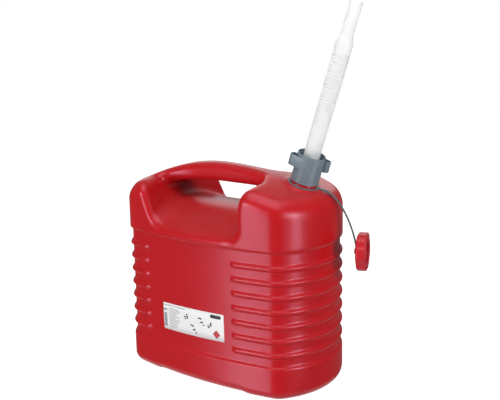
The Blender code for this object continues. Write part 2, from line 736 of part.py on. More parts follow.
def cap_shell(material, spin):
    """Closed face at z = 0 and open end at +Z, on the empty's axis; the stud points to -Z."""
    cap = loft("cap_shell", [lobed_loop(CAP_RADIUS - CAP_EDGE, 0.0), lobed_loop(CAP_RADIUS, CAP_EDGE),
                             lobed_loop(CAP_RADIUS, CAP_GRIP_DEPTH)], material, spin)
    skirt = disc_stack("skirt_addition", [(CAP_SKIRT_RADIUS, CAP_TOP_THICKNESS / 2),
                                          (CAP_SKIRT_RADIUS, CAP_SKIRT_DEPTH)], parent=spin)
    apply_tool(cap, skirt, "UNION")
    groove = turned("groove_cutter", [
        (CAP_SKIRT_RADIUS, CAP_TOP_THICKNESS), (CAP_GROOVE_OUTER_RADIUS, CAP_TOP_THICKNESS),
        (CAP_GROOVE_OUTER_RADIUS, CAP_SKIRT_DEPTH + CUT_OVERRUN),
        (CAP_SKIRT_RADIUS, CAP_SKIRT_DEPTH + CUT_OVERRUN)], parent=spin)
    apply_tool(cap, groove, "DIFFERENCE")
    bore = disc_stack("cap_bore_cutter", [(NUT_BORE_RADIUS, CAP_TOP_THICKNESS),
                                          (NUT_BORE_RADIUS, CAP_SKIRT_DEPTH + CUT_OVERRUN)], parent=spin)
    apply_tool(cap, bore, "DIFFERENCE")
    head_start = -(2 * CAP_FACE_GAP)
    stud = disc_stack("stud_addition", [
        (CAP_STUD_RADIUS, CAP_TOP_THICKNESS / 2), (CAP_STUD_RADIUS, head_start),
        (CAP_STUD_HEAD_RADIUS, head_start),
        (CAP_STUD_HEAD_RADIUS, head_start - CAP_STUD_HEAD + CAP_STUD_CHAMFER),
        (CAP_STUD_HEAD_RADIUS - CAP_STUD_CHAMFER, head_start - CAP_STUD_HEAD)], parent=spin, steps=24)
    apply_tool(cap, stud, "UNION")
    return cap


def cap_seal(material, spin):
    low = CAP_TOP_THICKNESS + SEAT_GAP
    high = low + SEAL_THICKNESS
    outer = NUT_BORE_RADIUS - SEAT_GAP
    inner = NECK_BORE_RADIUS - CAP_SEAL_LIP
    return turned("cap_seal", [(inner, low), (outer, low), (outer, high), (inner, high)],
                  material, spin)


# --- assembly -----------------------------------------------------------------------------
def build():
    clear_scene()
    red = make_material("red_tank_plastic", (0.55, 0.02, 0.03), 0.35)
    cap_red = make_material("red_cap_plastic", (0.60, 0.02, 0.03), 0.40)
    grey = make_material("grey_nut_plastic", (0.20, 0.24, 0.27), 0.45)
    strap_grey = make_material("grey_strap_plastic", (0.22, 0.25, 0.28), 0.50)
    clear_white = make_material("natural_spout_plastic", (0.86, 0.87, 0.88), 0.30)
    black = make_material("black_rubber", (0.03, 0.03, 0.03), 0.70)
    paper = make_material("label_film", (0.92, 0.92, 0.92), 0.45)

    neck_turn = Matrix.Rotation(NECK_TILT, 4, "Y")
    neck_place = Vector((NECK_X, 0, ridge_height(NECK_X) + NECK_STAND))
    neck = add_empty("neck_axis", neck_place, neck_turn)
    bend = add_empty("bend_axis", (0, 0, BEND_CENTRE), parent=neck)

    tank_shell(red, neck)
    front_label(paper)
    spout_seal(black, neck)
    spout_tube(clear_white, neck)
    spout_bellows(clear_white, neck)
    spout_nozzle(clear_white, bend)
    union_nut(grey, neck)
    strap_ring(strap_grey, neck)

    band_middle = RING_BASE + SEAT_GAP + BAND_THICKNESS / 2
    lug_reach = RING_OUTER_RADIUS + RING_LUG_LENGTH + SEAT_GAP + BAND_THICKNESS / 2
    lug_turn = Matrix.Rotation(STRAP_AZIMUTH, 4, "Z")
    lug_end = lug_turn @ Vector((lug_reach, 0, band_middle))
    hinge_place = Matrix.Translation(neck_place) @ neck_turn @ lug_end
    hinge = add_empty("strap_hinge", hinge_place, lug_turn)
    cap_strap(strap_grey, hinge)

    cap_turn = Matrix.Rotation(math.radians(90), 4, "Y")
    cap_place = (BAND_REACH + CAP_FACE_GAP, 0, -CAP_CENTRE_DROP)
    spin = add_empty("cap_axis", cap_place, cap_turn, hinge)
    cap_shell(cap_red, spin)
    cap_seal(black, spin)
    bpy.context.view_layer.update()


build()
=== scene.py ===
# %% [markdown]
# # A red fuel can with a bendable spout and a cap on a strap
# The real can is blow-moulded from red polyethylene, so all of its edges are soft and its wall
# runs without a joint from the base over the hand scoops to the neck. The nut, spout, strap and
# cap are injection moulded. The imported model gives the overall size, the places and the joints;
# this lesson gives the soft shapes and the finishes. Each new piece is a surface worked out with
# numpy.

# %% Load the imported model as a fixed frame
import json
import math

import bpy
import numpy as np
from mathutils import Matrix, Vector


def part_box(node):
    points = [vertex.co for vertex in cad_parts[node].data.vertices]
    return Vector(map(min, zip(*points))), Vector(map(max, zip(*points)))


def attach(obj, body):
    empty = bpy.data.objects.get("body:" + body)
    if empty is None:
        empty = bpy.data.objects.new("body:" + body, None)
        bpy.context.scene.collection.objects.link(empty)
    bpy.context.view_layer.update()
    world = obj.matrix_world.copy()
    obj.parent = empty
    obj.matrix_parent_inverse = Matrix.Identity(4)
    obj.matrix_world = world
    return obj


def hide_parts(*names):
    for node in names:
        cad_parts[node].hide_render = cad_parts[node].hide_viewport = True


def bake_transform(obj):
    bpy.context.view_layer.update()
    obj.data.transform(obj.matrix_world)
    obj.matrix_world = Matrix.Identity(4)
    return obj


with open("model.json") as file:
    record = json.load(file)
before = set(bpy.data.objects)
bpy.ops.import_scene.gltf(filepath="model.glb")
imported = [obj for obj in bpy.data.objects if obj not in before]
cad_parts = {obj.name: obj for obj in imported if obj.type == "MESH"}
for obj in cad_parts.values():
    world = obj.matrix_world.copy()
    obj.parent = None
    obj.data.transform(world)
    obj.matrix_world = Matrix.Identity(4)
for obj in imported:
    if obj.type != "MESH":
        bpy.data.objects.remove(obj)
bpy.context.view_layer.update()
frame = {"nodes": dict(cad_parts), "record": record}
joints = {joint["name"]: joint for joint in frame["record"]["behaviour"]["joints"]}
print("joints:", sorted(joints))

# %% [markdown]
# ## Local frames
# The neck is tilted, and the cap hangs off to one side, so each is easiest to draw upright and
# then carried into place. A frame is an origin and three unit vectors, and one matrix product
# moves a whole array of points at once.


# %% Frames of the neck, the strap and the cap
def unit(vector):
    """The vector over its own length."""
    vector = np.asarray(vector, dtype=float)
    return vector / np.linalg.norm(vector)


class Place:
    """A local frame: world point = origin + x * X + y * Y + z * Z."""

    def __init__(self, origin, x, y, z):
        self.origin = np.array(origin, dtype=float)
        self.axes = np.array([x, y, z], dtype=float)

    def to_world(self, points):
        return self.origin + np.asarray(points) @ self.axes


neck_axis = unit(joints["nut_turn"]["axis"])
neck = Place(joints["nut_turn"]["pos_m"], unit(np.cross((0, 1, 0), neck_axis)), (0, 1, 0), neck_axis)
bend_height = float((np.array(joints["spout_bend"]["pos_m"]) - neck.origin) @ neck_axis)
flex_axis = unit(joints["strap_flex"]["axis"])
strap_out = unit(np.cross((0, 0, 1), flex_axis))
strap = Place(joints["strap_flex"]["pos_m"], strap_out, -flex_axis, (0, 0, 1))
cap_axis = unit(joints["cap_spin"]["axis"])
cap = Place(joints["cap_spin"]["pos_m"], (0, 0, -1), np.cross(cap_axis, (0, 0, -1)), cap_axis)
print("neck tilt, degrees:", round(math.degrees(math.acos(neck_axis[2])), 2))
print("bellows middle above the neck plane, mm:", round(bend_height * 1000, 1))

# %% [markdown]
# ## From an array of points to a mesh
# A surface is a grid of points: rows run along the piece and columns run round it. Joining each
# point to its neighbours gives quads. A tube's columns wrap round; a ring's rows wrap too; a
# piece whose rows don't wrap gets a flat face at each end. The signed volume tells which way
# the faces look, so that every piece is turned outwards.


# %% Grid to mesh
def add_mesh(name, points, faces):
    """A smooth-shaded mesh object from a point array and lists of point numbers."""
    mesh = bpy.data.meshes.new(name)
    mesh.from_pydata(points.tolist(), [], faces)
    mesh.validate()
    mesh.shade_smooth()
    piece = bpy.data.objects.new(name, mesh)
    bpy.context.scene.collection.objects.link(piece)
    return piece


def signed_volume(points, quads):
    """Sum of the tetrahedra that the quads' triangles make with the origin."""
    a, b, c, d = (points[quads[:, k]] for k in range(4))
    return float((np.cross(a, b) * c).sum() + (np.cross(a, c) * d).sum()) / 6


def surface(name, grid, wrap_rows=False):
    """A closed piece from a (rows, columns, 3) grid of points whose columns wrap round.

    Rows that don't wrap leave two open ends, and each is closed by one flat face.
    """
    rows, columns = grid.shape[:2]
    points = grid.reshape(-1, 3)
    index = np.arange(rows * columns).reshape(rows, columns)
    low = index if wrap_rows else index[:-1]
    high = np.roll(index, -1, axis=0) if wrap_rows else index[1:]
    quads = np.stack([low, np.roll(low, -1, axis=1), np.roll(high, -1, axis=1), high], axis=-1)
    quads = quads.reshape(-1, 4)
    ends = []
    if not wrap_rows:
        ends = [index[0][::-1].tolist(), index[-1].tolist()]
    if signed_volume(points - points.mean(axis=0), quads) < 0:
        quads = quads[:, ::-1]
        ends = [end[::-1] for end in ends]
    return add_mesh(name, points, quads.tolist() + ends)


def turn_profile(profile, steps):
    """Turn (radius, height) points about the local Z axis: x = r cos a, y = r sin a, z = height."""
    angle = np.linspace(0, 2 * np.pi, steps, endpoint=False)
    radius, height = profile[:, 0], profile[:, 1]
    return np.stack([np.outer(radius, np.cos(angle)), np.outer(radius, np.sin(angle)),
                     np.repeat(height[:, None], steps, axis=1)], axis=-1)


def rounded(corners, radii, arc_points=5):
    """A closed outline whose corners are replaced by arcs of the given radii.

    At a corner with half angle h between its sides, the arc starts r / tan(h) from the corner.
    """
    outline = []
    corners = np.asarray(corners, dtype=float)
    for k, (corner, radius) in enumerate(zip(corners, radii)):
        before = unit(corners[k - 1] - corner)
        after = unit(corners[(k + 1) % len(corners)] - corner)
        if radius <= 0:
            outline.append(corner)
            continue
        half = math.acos(np.clip(before @ after, -1, 1)) / 2
        centre = corner + unit(before + after) * radius / math.sin(half)
        start = corner + before * radius / math.tan(half) - centre
        stop = corner + after * radius / math.tan(half) - centre
        sweep = math.atan2(start[0] * stop[1] - start[1] * stop[0], start @ stop)
        for t in np.linspace(0, 1, arc_points):
            c, s = math.cos(sweep * t), math.sin(sweep * t)
            outline.append(centre + (start[0] * c - start[1] * s, start[0] * s + start[1] * c))
    return np.array(outline)


print("two points turned in 36 steps:", turn_profile(np.ones((2, 2)), 36).shape)

# %% [markdown]
# ## The tank
# A blow-moulded tank has a scoop on each side that meets its twin under the handle, so it has a
# hole through it, and no single sheet can be pulled over that shape. It is made another way:
# every face of the can is a distance in metres, negative inside, and the can is what is left
# when the distances are joined by rounded maxima and minima. The radius of each rounding is the
# fillet that the mould has there. The surface is then found on a grid and moved on to the zero
# of the distance, so its points lie on the true shape.

# %% Driving sizes of the tank, in metres
tank_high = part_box("tank_shell")[1]
HALF_LENGTH = float(tank_high[0])
HALF_DEPTH = float(tank_high[1])
LONG_RADIUS = 0.740
END_RADIUS = HALF_DEPTH + 0.0228
CORNER = 0.035
BAND_TOP = 0.0570
FIRST_RIB = 0.0767
RIB_PITCH = 0.0240
RIB_COUNT = 7
RIB_HALF = 0.0056
RECESS = 0.0043
SHOULDER = 0.2467
BASE_EDGE = 0.018
TOP_EDGE = 0.023
ROOF_TOP = 0.3620
print("tank half length and half depth, mm:", round(HALF_LENGTH * 1000, 1), round(HALF_DEPTH * 1000, 1))


# %% Rounded joins of distances
def smooth_step(value, start, stop):
    """Zero at start, one at stop, with level ends: t * t * (3 - 2 t)."""
    t = np.clip((value - start) / (stop - start), 0, 1)
    return t * t * (3 - 2 * t)


def round_cut(a, b, radius):
    """What is inside both a and b; the outer edge between them is an arc of this radius."""
    arc = np.hypot(np.maximum(radius + a, 0), np.maximum(radius + b, 0))
    return np.minimum(-radius, np.maximum(a, b)) + arc


def round_join(a, b, radius):
    """What is inside a or b; the inner edge between them is an arc of this radius."""
    return -round_cut(-a, -b, radius)


print("a 10 mm round leaves a square corner outside by, mm:", round(round_cut(0, 0, 0.01) * 1000, 2))


# %% The outline seen from above: a distance to three kinds of arc
end_x = HALF_LENGTH - END_RADIUS
side_y = HALF_DEPTH - LONG_RADIUS
span = math.hypot(end_x, side_y)
along = (span ** 2 + (END_RADIUS - CORNER) ** 2 - (LONG_RADIUS - CORNER) ** 2) / (2 * span)
across = math.sqrt((END_RADIUS - CORNER) ** 2 - along ** 2)
corner_x = end_x - along * end_x / span - across * side_y / span
corner_y = along * side_y / span - across * end_x / span
print("corner arc centre, mm:", round(corner_x * 1000, 1), round(corner_y * 1000, 1))


def plan_distance(x, y):
    """Distance to the outline: the end arc, the long arc, or the corner arc between them."""
    px, py = np.abs(x), np.abs(y)
    end = np.hypot(px - end_x, py) - END_RADIUS
    side = np.hypot(px, py - side_y) - LONG_RADIUS
    corner = np.hypot(px - corner_x, py - corner_y) - CORNER
    past_end = (corner_x - end_x) * py - corner_y * (px - end_x) > 0
    past_side = corner_x * (py - side_y) - (corner_y - side_y) * px < 0
    return np.where(past_end & past_side, corner, np.maximum(end, side))


# %% Ribs: beads with round ends, all round the ends of the can
RIB_END_NECK = 0.0740
RIB_END_FAR = -0.1090


def bead(distance):
    """A bead's height share: one on its line, a round top, and a small fillet at its foot."""
    t = np.clip(distance / RIB_HALF, 0, 1)
    return (1 - t * t) ** 1.5


def wall_inset(x, z):
    """How far the wall lies inside the outline: RECESS between the beads, zero on them."""
    nearest = np.rint((z - FIRST_RIB) / RIB_PITCH)
    rib_z = FIRST_RIB + np.clip(nearest, 0, RIB_COUNT - 1) * RIB_PITCH
    neck_side = np.hypot(np.maximum(RIB_END_NECK + RIB_HALF - x, 0), z - rib_z)
    far_side = np.hypot(np.maximum(x - RIB_END_FAR + RIB_HALF, 0), z - rib_z)
    plain = 1 - bead(np.minimum(neck_side, far_side))
    above_band = smooth_step(z, BAND_TOP - 0.0030, BAND_TOP + 0.0026)
    below_shoulder = 1 - smooth_step(z, SHOULDER - 0.0026, SHOULDER + 0.0030)
    return RECESS * plain * above_band * below_shoulder


print("bead height half way to its foot, share:", round(float(bead(RIB_HALF / 2)), 3))


# %% The roof: an arch that runs out into the neck's tilted plane
ROOF_PEAK_X = -0.020
NECK_PLANE_X = 0.100
neck_slope = neck_axis[0] / neck_axis[2]


def ridge_height(x):
    """A parabola on the far side, a soft slope on the neck side, then the neck's slope."""
    u = x - ROOF_PEAK_X
    fall = 0.110 * (np.hypot(u, 0.050) - 0.050)
    bend = 0.008
    ramp = bend * np.logaddexp(0, (x - NECK_PLANE_X) / bend)
    near = ROOF_TOP - fall - (neck_slope - 0.110) * ramp
    return np.where(u < 0, ROOF_TOP - 1.50 * u * u, near)


def roof_height(x, y):
    """The ridge, less a soft slope to each long side."""
    return ridge_height(x) - 0.150 * (np.hypot(y, 0.025) - 0.025)


print("ridge at x = -150 and 100 mm:", (ridge_height(np.array([-0.150, 0.100])) * 1000).round(1))


# %% Hand scoops and the handle between them
FLOOR_TOP = 0.2952
FLOOR_FALL = 0.0390
NECK_WALL_X = 0.0860
FAR_WALL_X = -0.1010
UNDERSIDE = 0.3300


def scoop_distance(x, y, z):
    """The hand space: above a saddle floor, between a steep wall and a leaning one."""
    floor = FLOOR_TOP - FLOOR_FALL * (y / HALF_DEPTH) ** 2
    inward = HALF_DEPTH - np.hypot(y, 0.012)
    far_wall = FAR_WALL_X - 0.46 * (z - FLOOR_TOP) - 0.16 * inward
    lengthways = round_cut(x - NECK_WALL_X, (far_wall - x) * 0.90, 0.010)
    return round_cut(lengthways, floor - z, 0.018)


def handle_distance(x, y, z):
    """A bar without a top of its own: two sides and an underside, joined by round edges."""
    middle = (NECK_WALL_X + FAR_WALL_X) / 2
    reach = np.abs(x - middle) / (NECK_WALL_X - middle)
    half_width = 0.0190 + 0.0075 * np.minimum(reach, 1.4) ** 4
    underside = UNDERSIDE - 0.90 * np.minimum(x - ROOF_PEAK_X, 0) ** 2
    return round_cut(np.abs(y) - half_width, underside - z, 0.0125)


def edge_radius(x, y, z):
    """The mould's outer fillets: wide on the far wall, medium at the neck, small on the floor."""
    far = smooth_step(-x, 0.060, 0.095)
    near = smooth_step(x, 0.055, 0.080)
    high = smooth_step(z, 0.305, 0.345)
    on_handle = 1 - smooth_step(np.abs(y), 0.030, 0.050)
    radius = 0.0065 + 0.0095 * far + (0.0040 + 0.0110 * high) * near
    return radius + (0.0135 - radius) * on_handle * high


print("hand space between its walls at the side, mm:", round((NECK_WALL_X - FAR_WALL_X) * 1000, 1))


# %% The whole tank as one distance
BOSS_RADIUS = 0.0285
BOSS_TOP = -0.0069


def tank_distance(x, y, z):
    """Distance to the outer skin of the tank, negative inside."""
    wall = plan_distance(x, y) + wall_inset(x, z)
    roof = (z - roof_height(x, y)) * 0.965
    long_relief = smooth_step(np.abs(y), HALF_DEPTH - 0.045, HALF_DEPTH - 0.030)
    mid_relief = 1 - smooth_step(np.abs(x), 0.084, 0.100)
    base = 0.0025 * long_relief * mid_relief - z
    body = round_cut(round_cut(wall, roof, TOP_EDGE), base, BASE_EDGE)
    kept = round_join(-scoop_distance(x, y, z), handle_distance(x, y, z), 0.011)
    body = round_cut(body, kept, edge_radius(x, y, z))
    dx, dz = x - neck.origin[0], z - neck.origin[2]
    up = dx * neck_axis[0] + dz * neck_axis[2]
    out = np.hypot(dx * neck.axes[0][0] + dz * neck.axes[0][2], y)
    boss = round_cut(out - BOSS_RADIUS, np.maximum(up - BOSS_TOP, -0.030 - up), 0.0015)
    return round_join(body, boss, 0.006)


print("tank_distance at the can's middle, mm:", round(float(tank_distance(0, 0, 0.15)) * 1000, 1))

# %% [markdown]
# ## Finding the surface
# The box round the can is cut into small cells, finer upwards where the beads are. A cell whose
# corners are partly inside and partly outside holds a piece of the surface and gets one point.
# Wherever a grid edge passes through the surface, the four cells round it are joined by a quad.
# A few Newton steps, each moving a point by its distance along the slope, put it on the shape.


# %% Grid levels and the surface finder
def levels(start, stop, spacing):
    """Even levels from start to stop, as near to the spacing as whole steps allow."""
    return np.linspace(start, stop, int(round((stop - start) / spacing)) + 1)


def find_surface(distance, xs, ys, zs):
    """Points and quads of the zero of distance(x, y, z) on the grid of xs, ys and zs."""
    value = distance(xs[:, None, None], ys[None, :, None], zs[None, None, :])
    inside = value < 0
    shape = tuple(n - 1 for n in value.shape)
    total = np.zeros(shape + (3,))
    count = np.zeros(shape)
    quads = []
    axes = (xs, ys, zs)
    crossings = []
    for axis in range(3):
        a = np.take(value, range(value.shape[axis] - 1), axis=axis)
        b = np.take(value, range(1, value.shape[axis]), axis=axis)
        crosses = (a < 0) != (b < 0)
        share = np.where(crosses, a / np.where(crosses, a - b, 1), 0)
        where = np.argwhere(crosses)
        place = np.stack([axes[k][where[:, k]] for k in range(3)], axis=-1)
        step = np.diff(axes[axis])[where[:, axis]]
        place[:, axis] += share[crosses] * step
        crossings.append((axis, where, inside[tuple(where.T)]))
        others = [k for k in range(3) if k != axis]
        for i in (0, 1):
            for j in (0, 1):
                cell = where.copy()
                cell[:, others[0]] -= i
                cell[:, others[1]] -= j
                np.add.at(total, tuple(cell.T), place)
                np.add.at(count, tuple(cell.T), 1)
    used = count > 0
    number = np.full(shape, -1)
    number[used] = np.arange(used.sum())
    points = total[used] / count[used][:, None]
    for axis, where, starts_inside in crossings:
        one, two = (axis + 1) % 3, (axis + 2) % 3
        ring = []
        for i, j in ((1, 1), (0, 1), (0, 0), (1, 0)):
            cell = where.copy()
            cell[:, one] -= i
            cell[:, two] -= j
            ring.append(number[tuple(cell.T)])
        ring = np.stack(ring, axis=-1)
        ring[~starts_inside] = ring[~starts_inside][:, ::-1]
        quads.append(ring)
    return points, np.concatenate(quads)


def slope_of(distance, points, step=2e-5):
    """The distance's gradient by central differences."""
    parts = []
    for axis in range(3):
        shift = np.zeros(3)
        shift[axis] = step
        ahead = distance(*(points + shift).T)
        behind = distance(*(points - shift).T)
        parts.append((ahead - behind) / (2 * step))
    return np.stack(parts, axis=-1)


def settle(distance, points, rounds=4, most=0.0012):
    """Newton steps on to the surface: move by distance / slope, at most a set length."""
    for _ in range(rounds):
        slope = slope_of(distance, points)
        size = np.maximum((slope ** 2).sum(axis=1), 0.05)
        move = np.clip(distance(*points.T) / size, -most, most)
        points = points - slope * move[:, None]
    return points


print("0 to 10 mm in steps of about 3 mm:", (levels(0, 0.010, 0.003) * 1000).round(2))

# %% Build the tank's skin
MARGIN = 0.004
rib_step = RIB_PITCH / 13
xs = levels(-HALF_LENGTH - MARGIN, HALF_LENGTH + MARGIN, 0.0036)
ys = levels(-HALF_DEPTH - MARGIN, HALF_DEPTH + MARGIN, 0.0033)
zs = np.concatenate([levels(-MARGIN, 0.0510, 0.0030)[:-1],
                     levels(0.0510, SHOULDER + 0.0043, rib_step)[:-1],
                     levels(SHOULDER + 0.0043, ROOF_TOP + MARGIN, 0.0030)])
skin, skin_quads = find_surface(tank_distance, xs, ys, zs)
skin = settle(tank_distance, skin)
print("tank grid:", len(xs), len(ys), len(zs), "points:", len(skin), "triangles:", 2 * len(skin_quads))
print("largest distance left, mm:", round(float(np.abs(tank_distance(*skin.T)).max()) * 1000, 3))
if signed_volume(skin, skin_quads) < 0:
    skin_quads = skin_quads[:, ::-1]
tank_skin = add_mesh("tank_skin", skin, skin_quads.tolist())

# %% [markdown]
# ## The neck
# The neck is part of the same moulding, but its thread is far finer than the can's skin, so it is
# drawn by itself and stands with its root inside the boss. A screw thread on a turned tube needs
# one more idea: the radius also depends on the angle, so the crest climbs one pitch per turn.

# %% Threaded neck
NECK_RADIUS = 0.0200
NECK_BORE = 0.0165
NECK_HEIGHT = 0.0220
NECK_ROOT_RADIUS = 0.0212
THREAD_PITCH = 0.0040
THREAD_DEPTH = 0.0011
STEPS_ROUND = 96


def threaded_tube(outline, steps, start, stop, depth):
    """A turned outline whose outer points sink by depth between the turns of a thread.

    The sink is depth * (1 - crest), where crest is a narrow bump that repeats along
    height - pitch * angle / turn; it fades out near start and stop.
    """
    grid = turn_profile(outline, steps)
    angle = np.linspace(0, 1, steps, endpoint=False)[None, :]
    height = outline[:, 1][:, None]
    phase = np.cos(2 * np.pi * (height / THREAD_PITCH - angle))
    crest = smooth_step(phase, -0.2, 0.75)
    on = smooth_step(height, start, start + 0.002) * (1 - smooth_step(height, stop - 0.002, stop))
    on = on * (outline[:, 0][:, None] > NECK_BORE + 0.002)
    radius = outline[:, 0][:, None]
    scale = (radius - depth * (1 - crest) * on) / radius
    grid[..., :2] *= scale[..., None]
    return grid


neck_wall = np.linspace(0.0008, NECK_HEIGHT - 0.0015, 44)
neck_outline = np.concatenate([
    [(NECK_BORE, -0.016), (NECK_ROOT_RADIUS, -0.016), (NECK_ROOT_RADIUS, -0.0022),
     (NECK_RADIUS + 0.0006, -0.0012), (NECK_RADIUS, -0.0004)],
    np.stack([np.full(44, NECK_RADIUS), neck_wall], axis=-1),
    [(NECK_RADIUS - 0.0004, NECK_HEIGHT - 0.0004), (NECK_RADIUS - 0.0012, NECK_HEIGHT),
     (NECK_BORE + 0.0006, NECK_HEIGHT), (NECK_BORE, NECK_HEIGHT - 0.0006)]])
neck_grid = threaded_tube(neck_outline, STEPS_ROUND, 0.001, NECK_HEIGHT - 0.001, THREAD_DEPTH)
tank_neck = surface("tank_neck", neck.to_world(neck_grid), wrap_rows=True)
print("neck points:", neck_grid.shape[:2])

# %% [markdown]
# ## The union nut
# The nut is a turned barrel with fine rings pressed into it for grip and a thin open sleeve at
# the top. Two short flat loops leave it along a tangent, half a turn apart. A loop is a thin
# rounded bar carried along a path, so a section is swept along it.

# %% Nut barrel
NUT_RADIUS = 0.0230
NUT_HEIGHT = 0.0470
NUT_BORE = NECK_RADIUS + 0.0005
SLEEVE_WALL = 0.0016
SHELF_LOW = 0.0273
SHELF_HIGH = 0.0303
TUBE_HOLE = 0.0138
GRIP_RINGS = 13
GRIP_DEPTH = 0.00055

ring_rows = np.linspace(0.0012, NUT_HEIGHT - 0.0010, GRIP_RINGS * 6 + 1)
ring_share = 0.5 - 0.5 * np.cos(2 * np.pi * np.linspace(0, GRIP_RINGS, len(ring_rows)))
ring_wall = np.stack([NUT_RADIUS - GRIP_DEPTH * ring_share ** 2, ring_rows], axis=-1)
nut_outline = np.concatenate([
    [(NUT_BORE, 0.0006), (NUT_BORE + 0.0004, 0.0001), (NUT_RADIUS - 0.0008, 0.0001),
     (NUT_RADIUS - 0.0002, 0.0005)],
    ring_wall,
    [(NUT_RADIUS - 0.0003, NUT_HEIGHT - 0.0003), (NUT_RADIUS - 0.0008, NUT_HEIGHT),
     (NUT_RADIUS - 0.0013, NUT_HEIGHT - 0.0002), (NUT_RADIUS - SLEEVE_WALL, NUT_HEIGHT - 0.0008),
     (NUT_RADIUS - SLEEVE_WALL, SHELF_HIGH + 0.0012), (NUT_RADIUS - SLEEVE_WALL - 0.0012, SHELF_HIGH),
     (TUBE_HOLE + 0.0004, SHELF_HIGH), (TUBE_HOLE, SHELF_HIGH - 0.0004), (TUBE_HOLE, SHELF_LOW),
     (NUT_BORE, SHELF_LOW)]])
nut_barrel = surface("nut_barrel", neck.to_world(turn_profile(nut_outline, STEPS_ROUND)),
                     wrap_rows=True)
print("nut rings:", GRIP_RINGS, "outline points:", len(nut_outline))


# %% A section carried along a flat path
def left_normals(path):
    """The unit tangents of a flat path of (a, b) points, each turned a quarter to the left."""
    tangent = np.gradient(path, axis=0)
    tangent /= np.linalg.norm(tangent, axis=1)[:, None]
    return np.stack([-tangent[:, 1], tangent[:, 0]], axis=-1)


def even_points(path, count):
    """The same path with points at even spacing along its length."""
    length = np.concatenate([[0], np.cumsum(np.linalg.norm(np.diff(path, axis=0), axis=1))])
    at = np.linspace(0, length[-1], count)
    return np.stack([np.interp(at, length, path[:, k]) for k in range(2)], axis=-1)


def flat_bar(path, thickness, width, edge):
    """A bar on a flat path: returns (rows, columns, 3) of (a, b, across) points."""
    half, side = thickness / 2, width / 2
    corners = [(-half, -side), (half, -side), (half, side), (-half, side)]
    section = rounded(corners, [edge] * 4, arc_points=4)
    flat = path[:, None, :] + left_normals(path)[:, None, :] * section[None, :, :1]
    rise = np.broadcast_to(section[None, :, 1:], flat.shape[:2] + (1,))
    return np.concatenate([flat, rise], axis=-1)


bar_shape = flat_bar(np.array([(0.0, 0.0), (0.01, 0.0)]), 0.002, 0.010, 0.0005).shape
print("a bar on a path of two points:", bar_shape)

# %% Nut loops
LOOP_REACH = 0.0050
LOOP_WIDTH = 0.0145
LOOP_WALL = 0.0020
LOOP_HEIGHT = 0.0185
LOOP_TOP = NUT_HEIGHT - 0.0055
LOOP_STAND_OFF = 0.0003


def loop_path():
    """Along the barrel's tangent, half round an arc, and back into the barrel."""
    turn = (LOOP_WIDTH - LOOP_WALL) / 2
    front = LOOP_WALL / 2 - NUT_RADIUS - LOOP_STAND_OFF
    centre_x = LOOP_WALL / 2 + turn - NUT_RADIUS - LOOP_REACH
    angle = np.linspace(-math.pi / 2, -3 * math.pi / 2, 25)
    arc = np.stack([centre_x + turn * np.cos(angle), front + turn + turn * np.sin(angle)], axis=-1)
    back = front + 2 * turn
    barrel_x = SLEEVE_WALL / 2 - math.sqrt(NUT_RADIUS ** 2 - back ** 2)
    lead = np.linspace((0.0005, front + 0.0004), (centre_x, front), 12)[:-1]
    tail = np.linspace((centre_x, back), (barrel_x, back), 6)[1:]
    return np.concatenate([lead, arc, tail])


loop_bar = flat_bar(loop_path(), LOOP_WALL, LOOP_HEIGHT, edge=0.0006)
loop_bar[..., 2] += LOOP_TOP - LOOP_HEIGHT / 2
turned_bar = loop_bar * np.array([-1, -1, 1])
nut_loop_near = surface("nut_loop_near", neck.to_world(loop_bar))
nut_loop_far = surface("nut_loop_far", neck.to_world(turned_bar))
print("loop points:", loop_bar.shape[:2])

# %% [markdown]
# ## The pouring spout
# The spout is one thin moulding: a plain tube with a flange that the nut holds down, a stretch
# of close rings that lets it bend, and a narrower filler tube with a shoulder and a taper. It is
# clear enough for a seam to show, so it stays one piece here too: a profile that runs up the
# outside and back down the inside. Its ringed stretch crosses the bending joint and has plenty
# of rows.

# %% Sizes of the spout
SPOUT_RADIUS = 0.0133
SPOUT_WALL = 0.0014
FLANGE_RADIUS = 0.0196
FLANGE_LOW, FLANGE_HIGH = 0.0246, 0.0270
BELLOWS_START = 0.1180
BELLOWS_LENGTH = 0.1030
BELLOWS_RADIUS = 0.0141
BELLOWS_RINGS = 20
RING_DEPTH = 0.0015
SHOULDER_RADIUS = 0.0140
NOZZLE_RADIUS = 0.0098
NOZZLE_LENGTH = 0.0750
TIP_ROUND = 0.0006
LIP_HEIGHT = 0.00035
print("pitch of the spout's rings, mm:", round(BELLOWS_LENGTH / BELLOWS_RINGS * 1000, 2))


# %% The spout's wall as one profile
def bellows_wall(share):
    """Crest radius less depth * (1 - wave ** 1.6); the first and last ring fade into the tube."""
    wave = 0.5 - 0.5 * np.cos(2 * np.pi * BELLOWS_RINGS * share)
    fade = np.minimum(1, np.minimum(share, 1 - share) * BELLOWS_RINGS)
    crest = SPOUT_RADIUS + (BELLOWS_RADIUS - SPOUT_RADIUS) * fade
    return crest - RING_DEPTH * (1 - wave ** 1.6) * fade


def nozzle_wall(rise):
    """A small shoulder, a soft taper to the filler tube, and a thin lip before the tip."""
    radius = SPOUT_RADIUS + (SHOULDER_RADIUS - SPOUT_RADIUS) * smooth_step(rise, 0.0, 0.0030)
    radius = radius + (NOZZLE_RADIUS - SHOULDER_RADIUS) * smooth_step(rise, 0.0045, 0.0250)
    return radius + LIP_HEIGHT * np.exp(-((rise - NOZZLE_LENGTH + 0.0010) / 0.0009) ** 2)


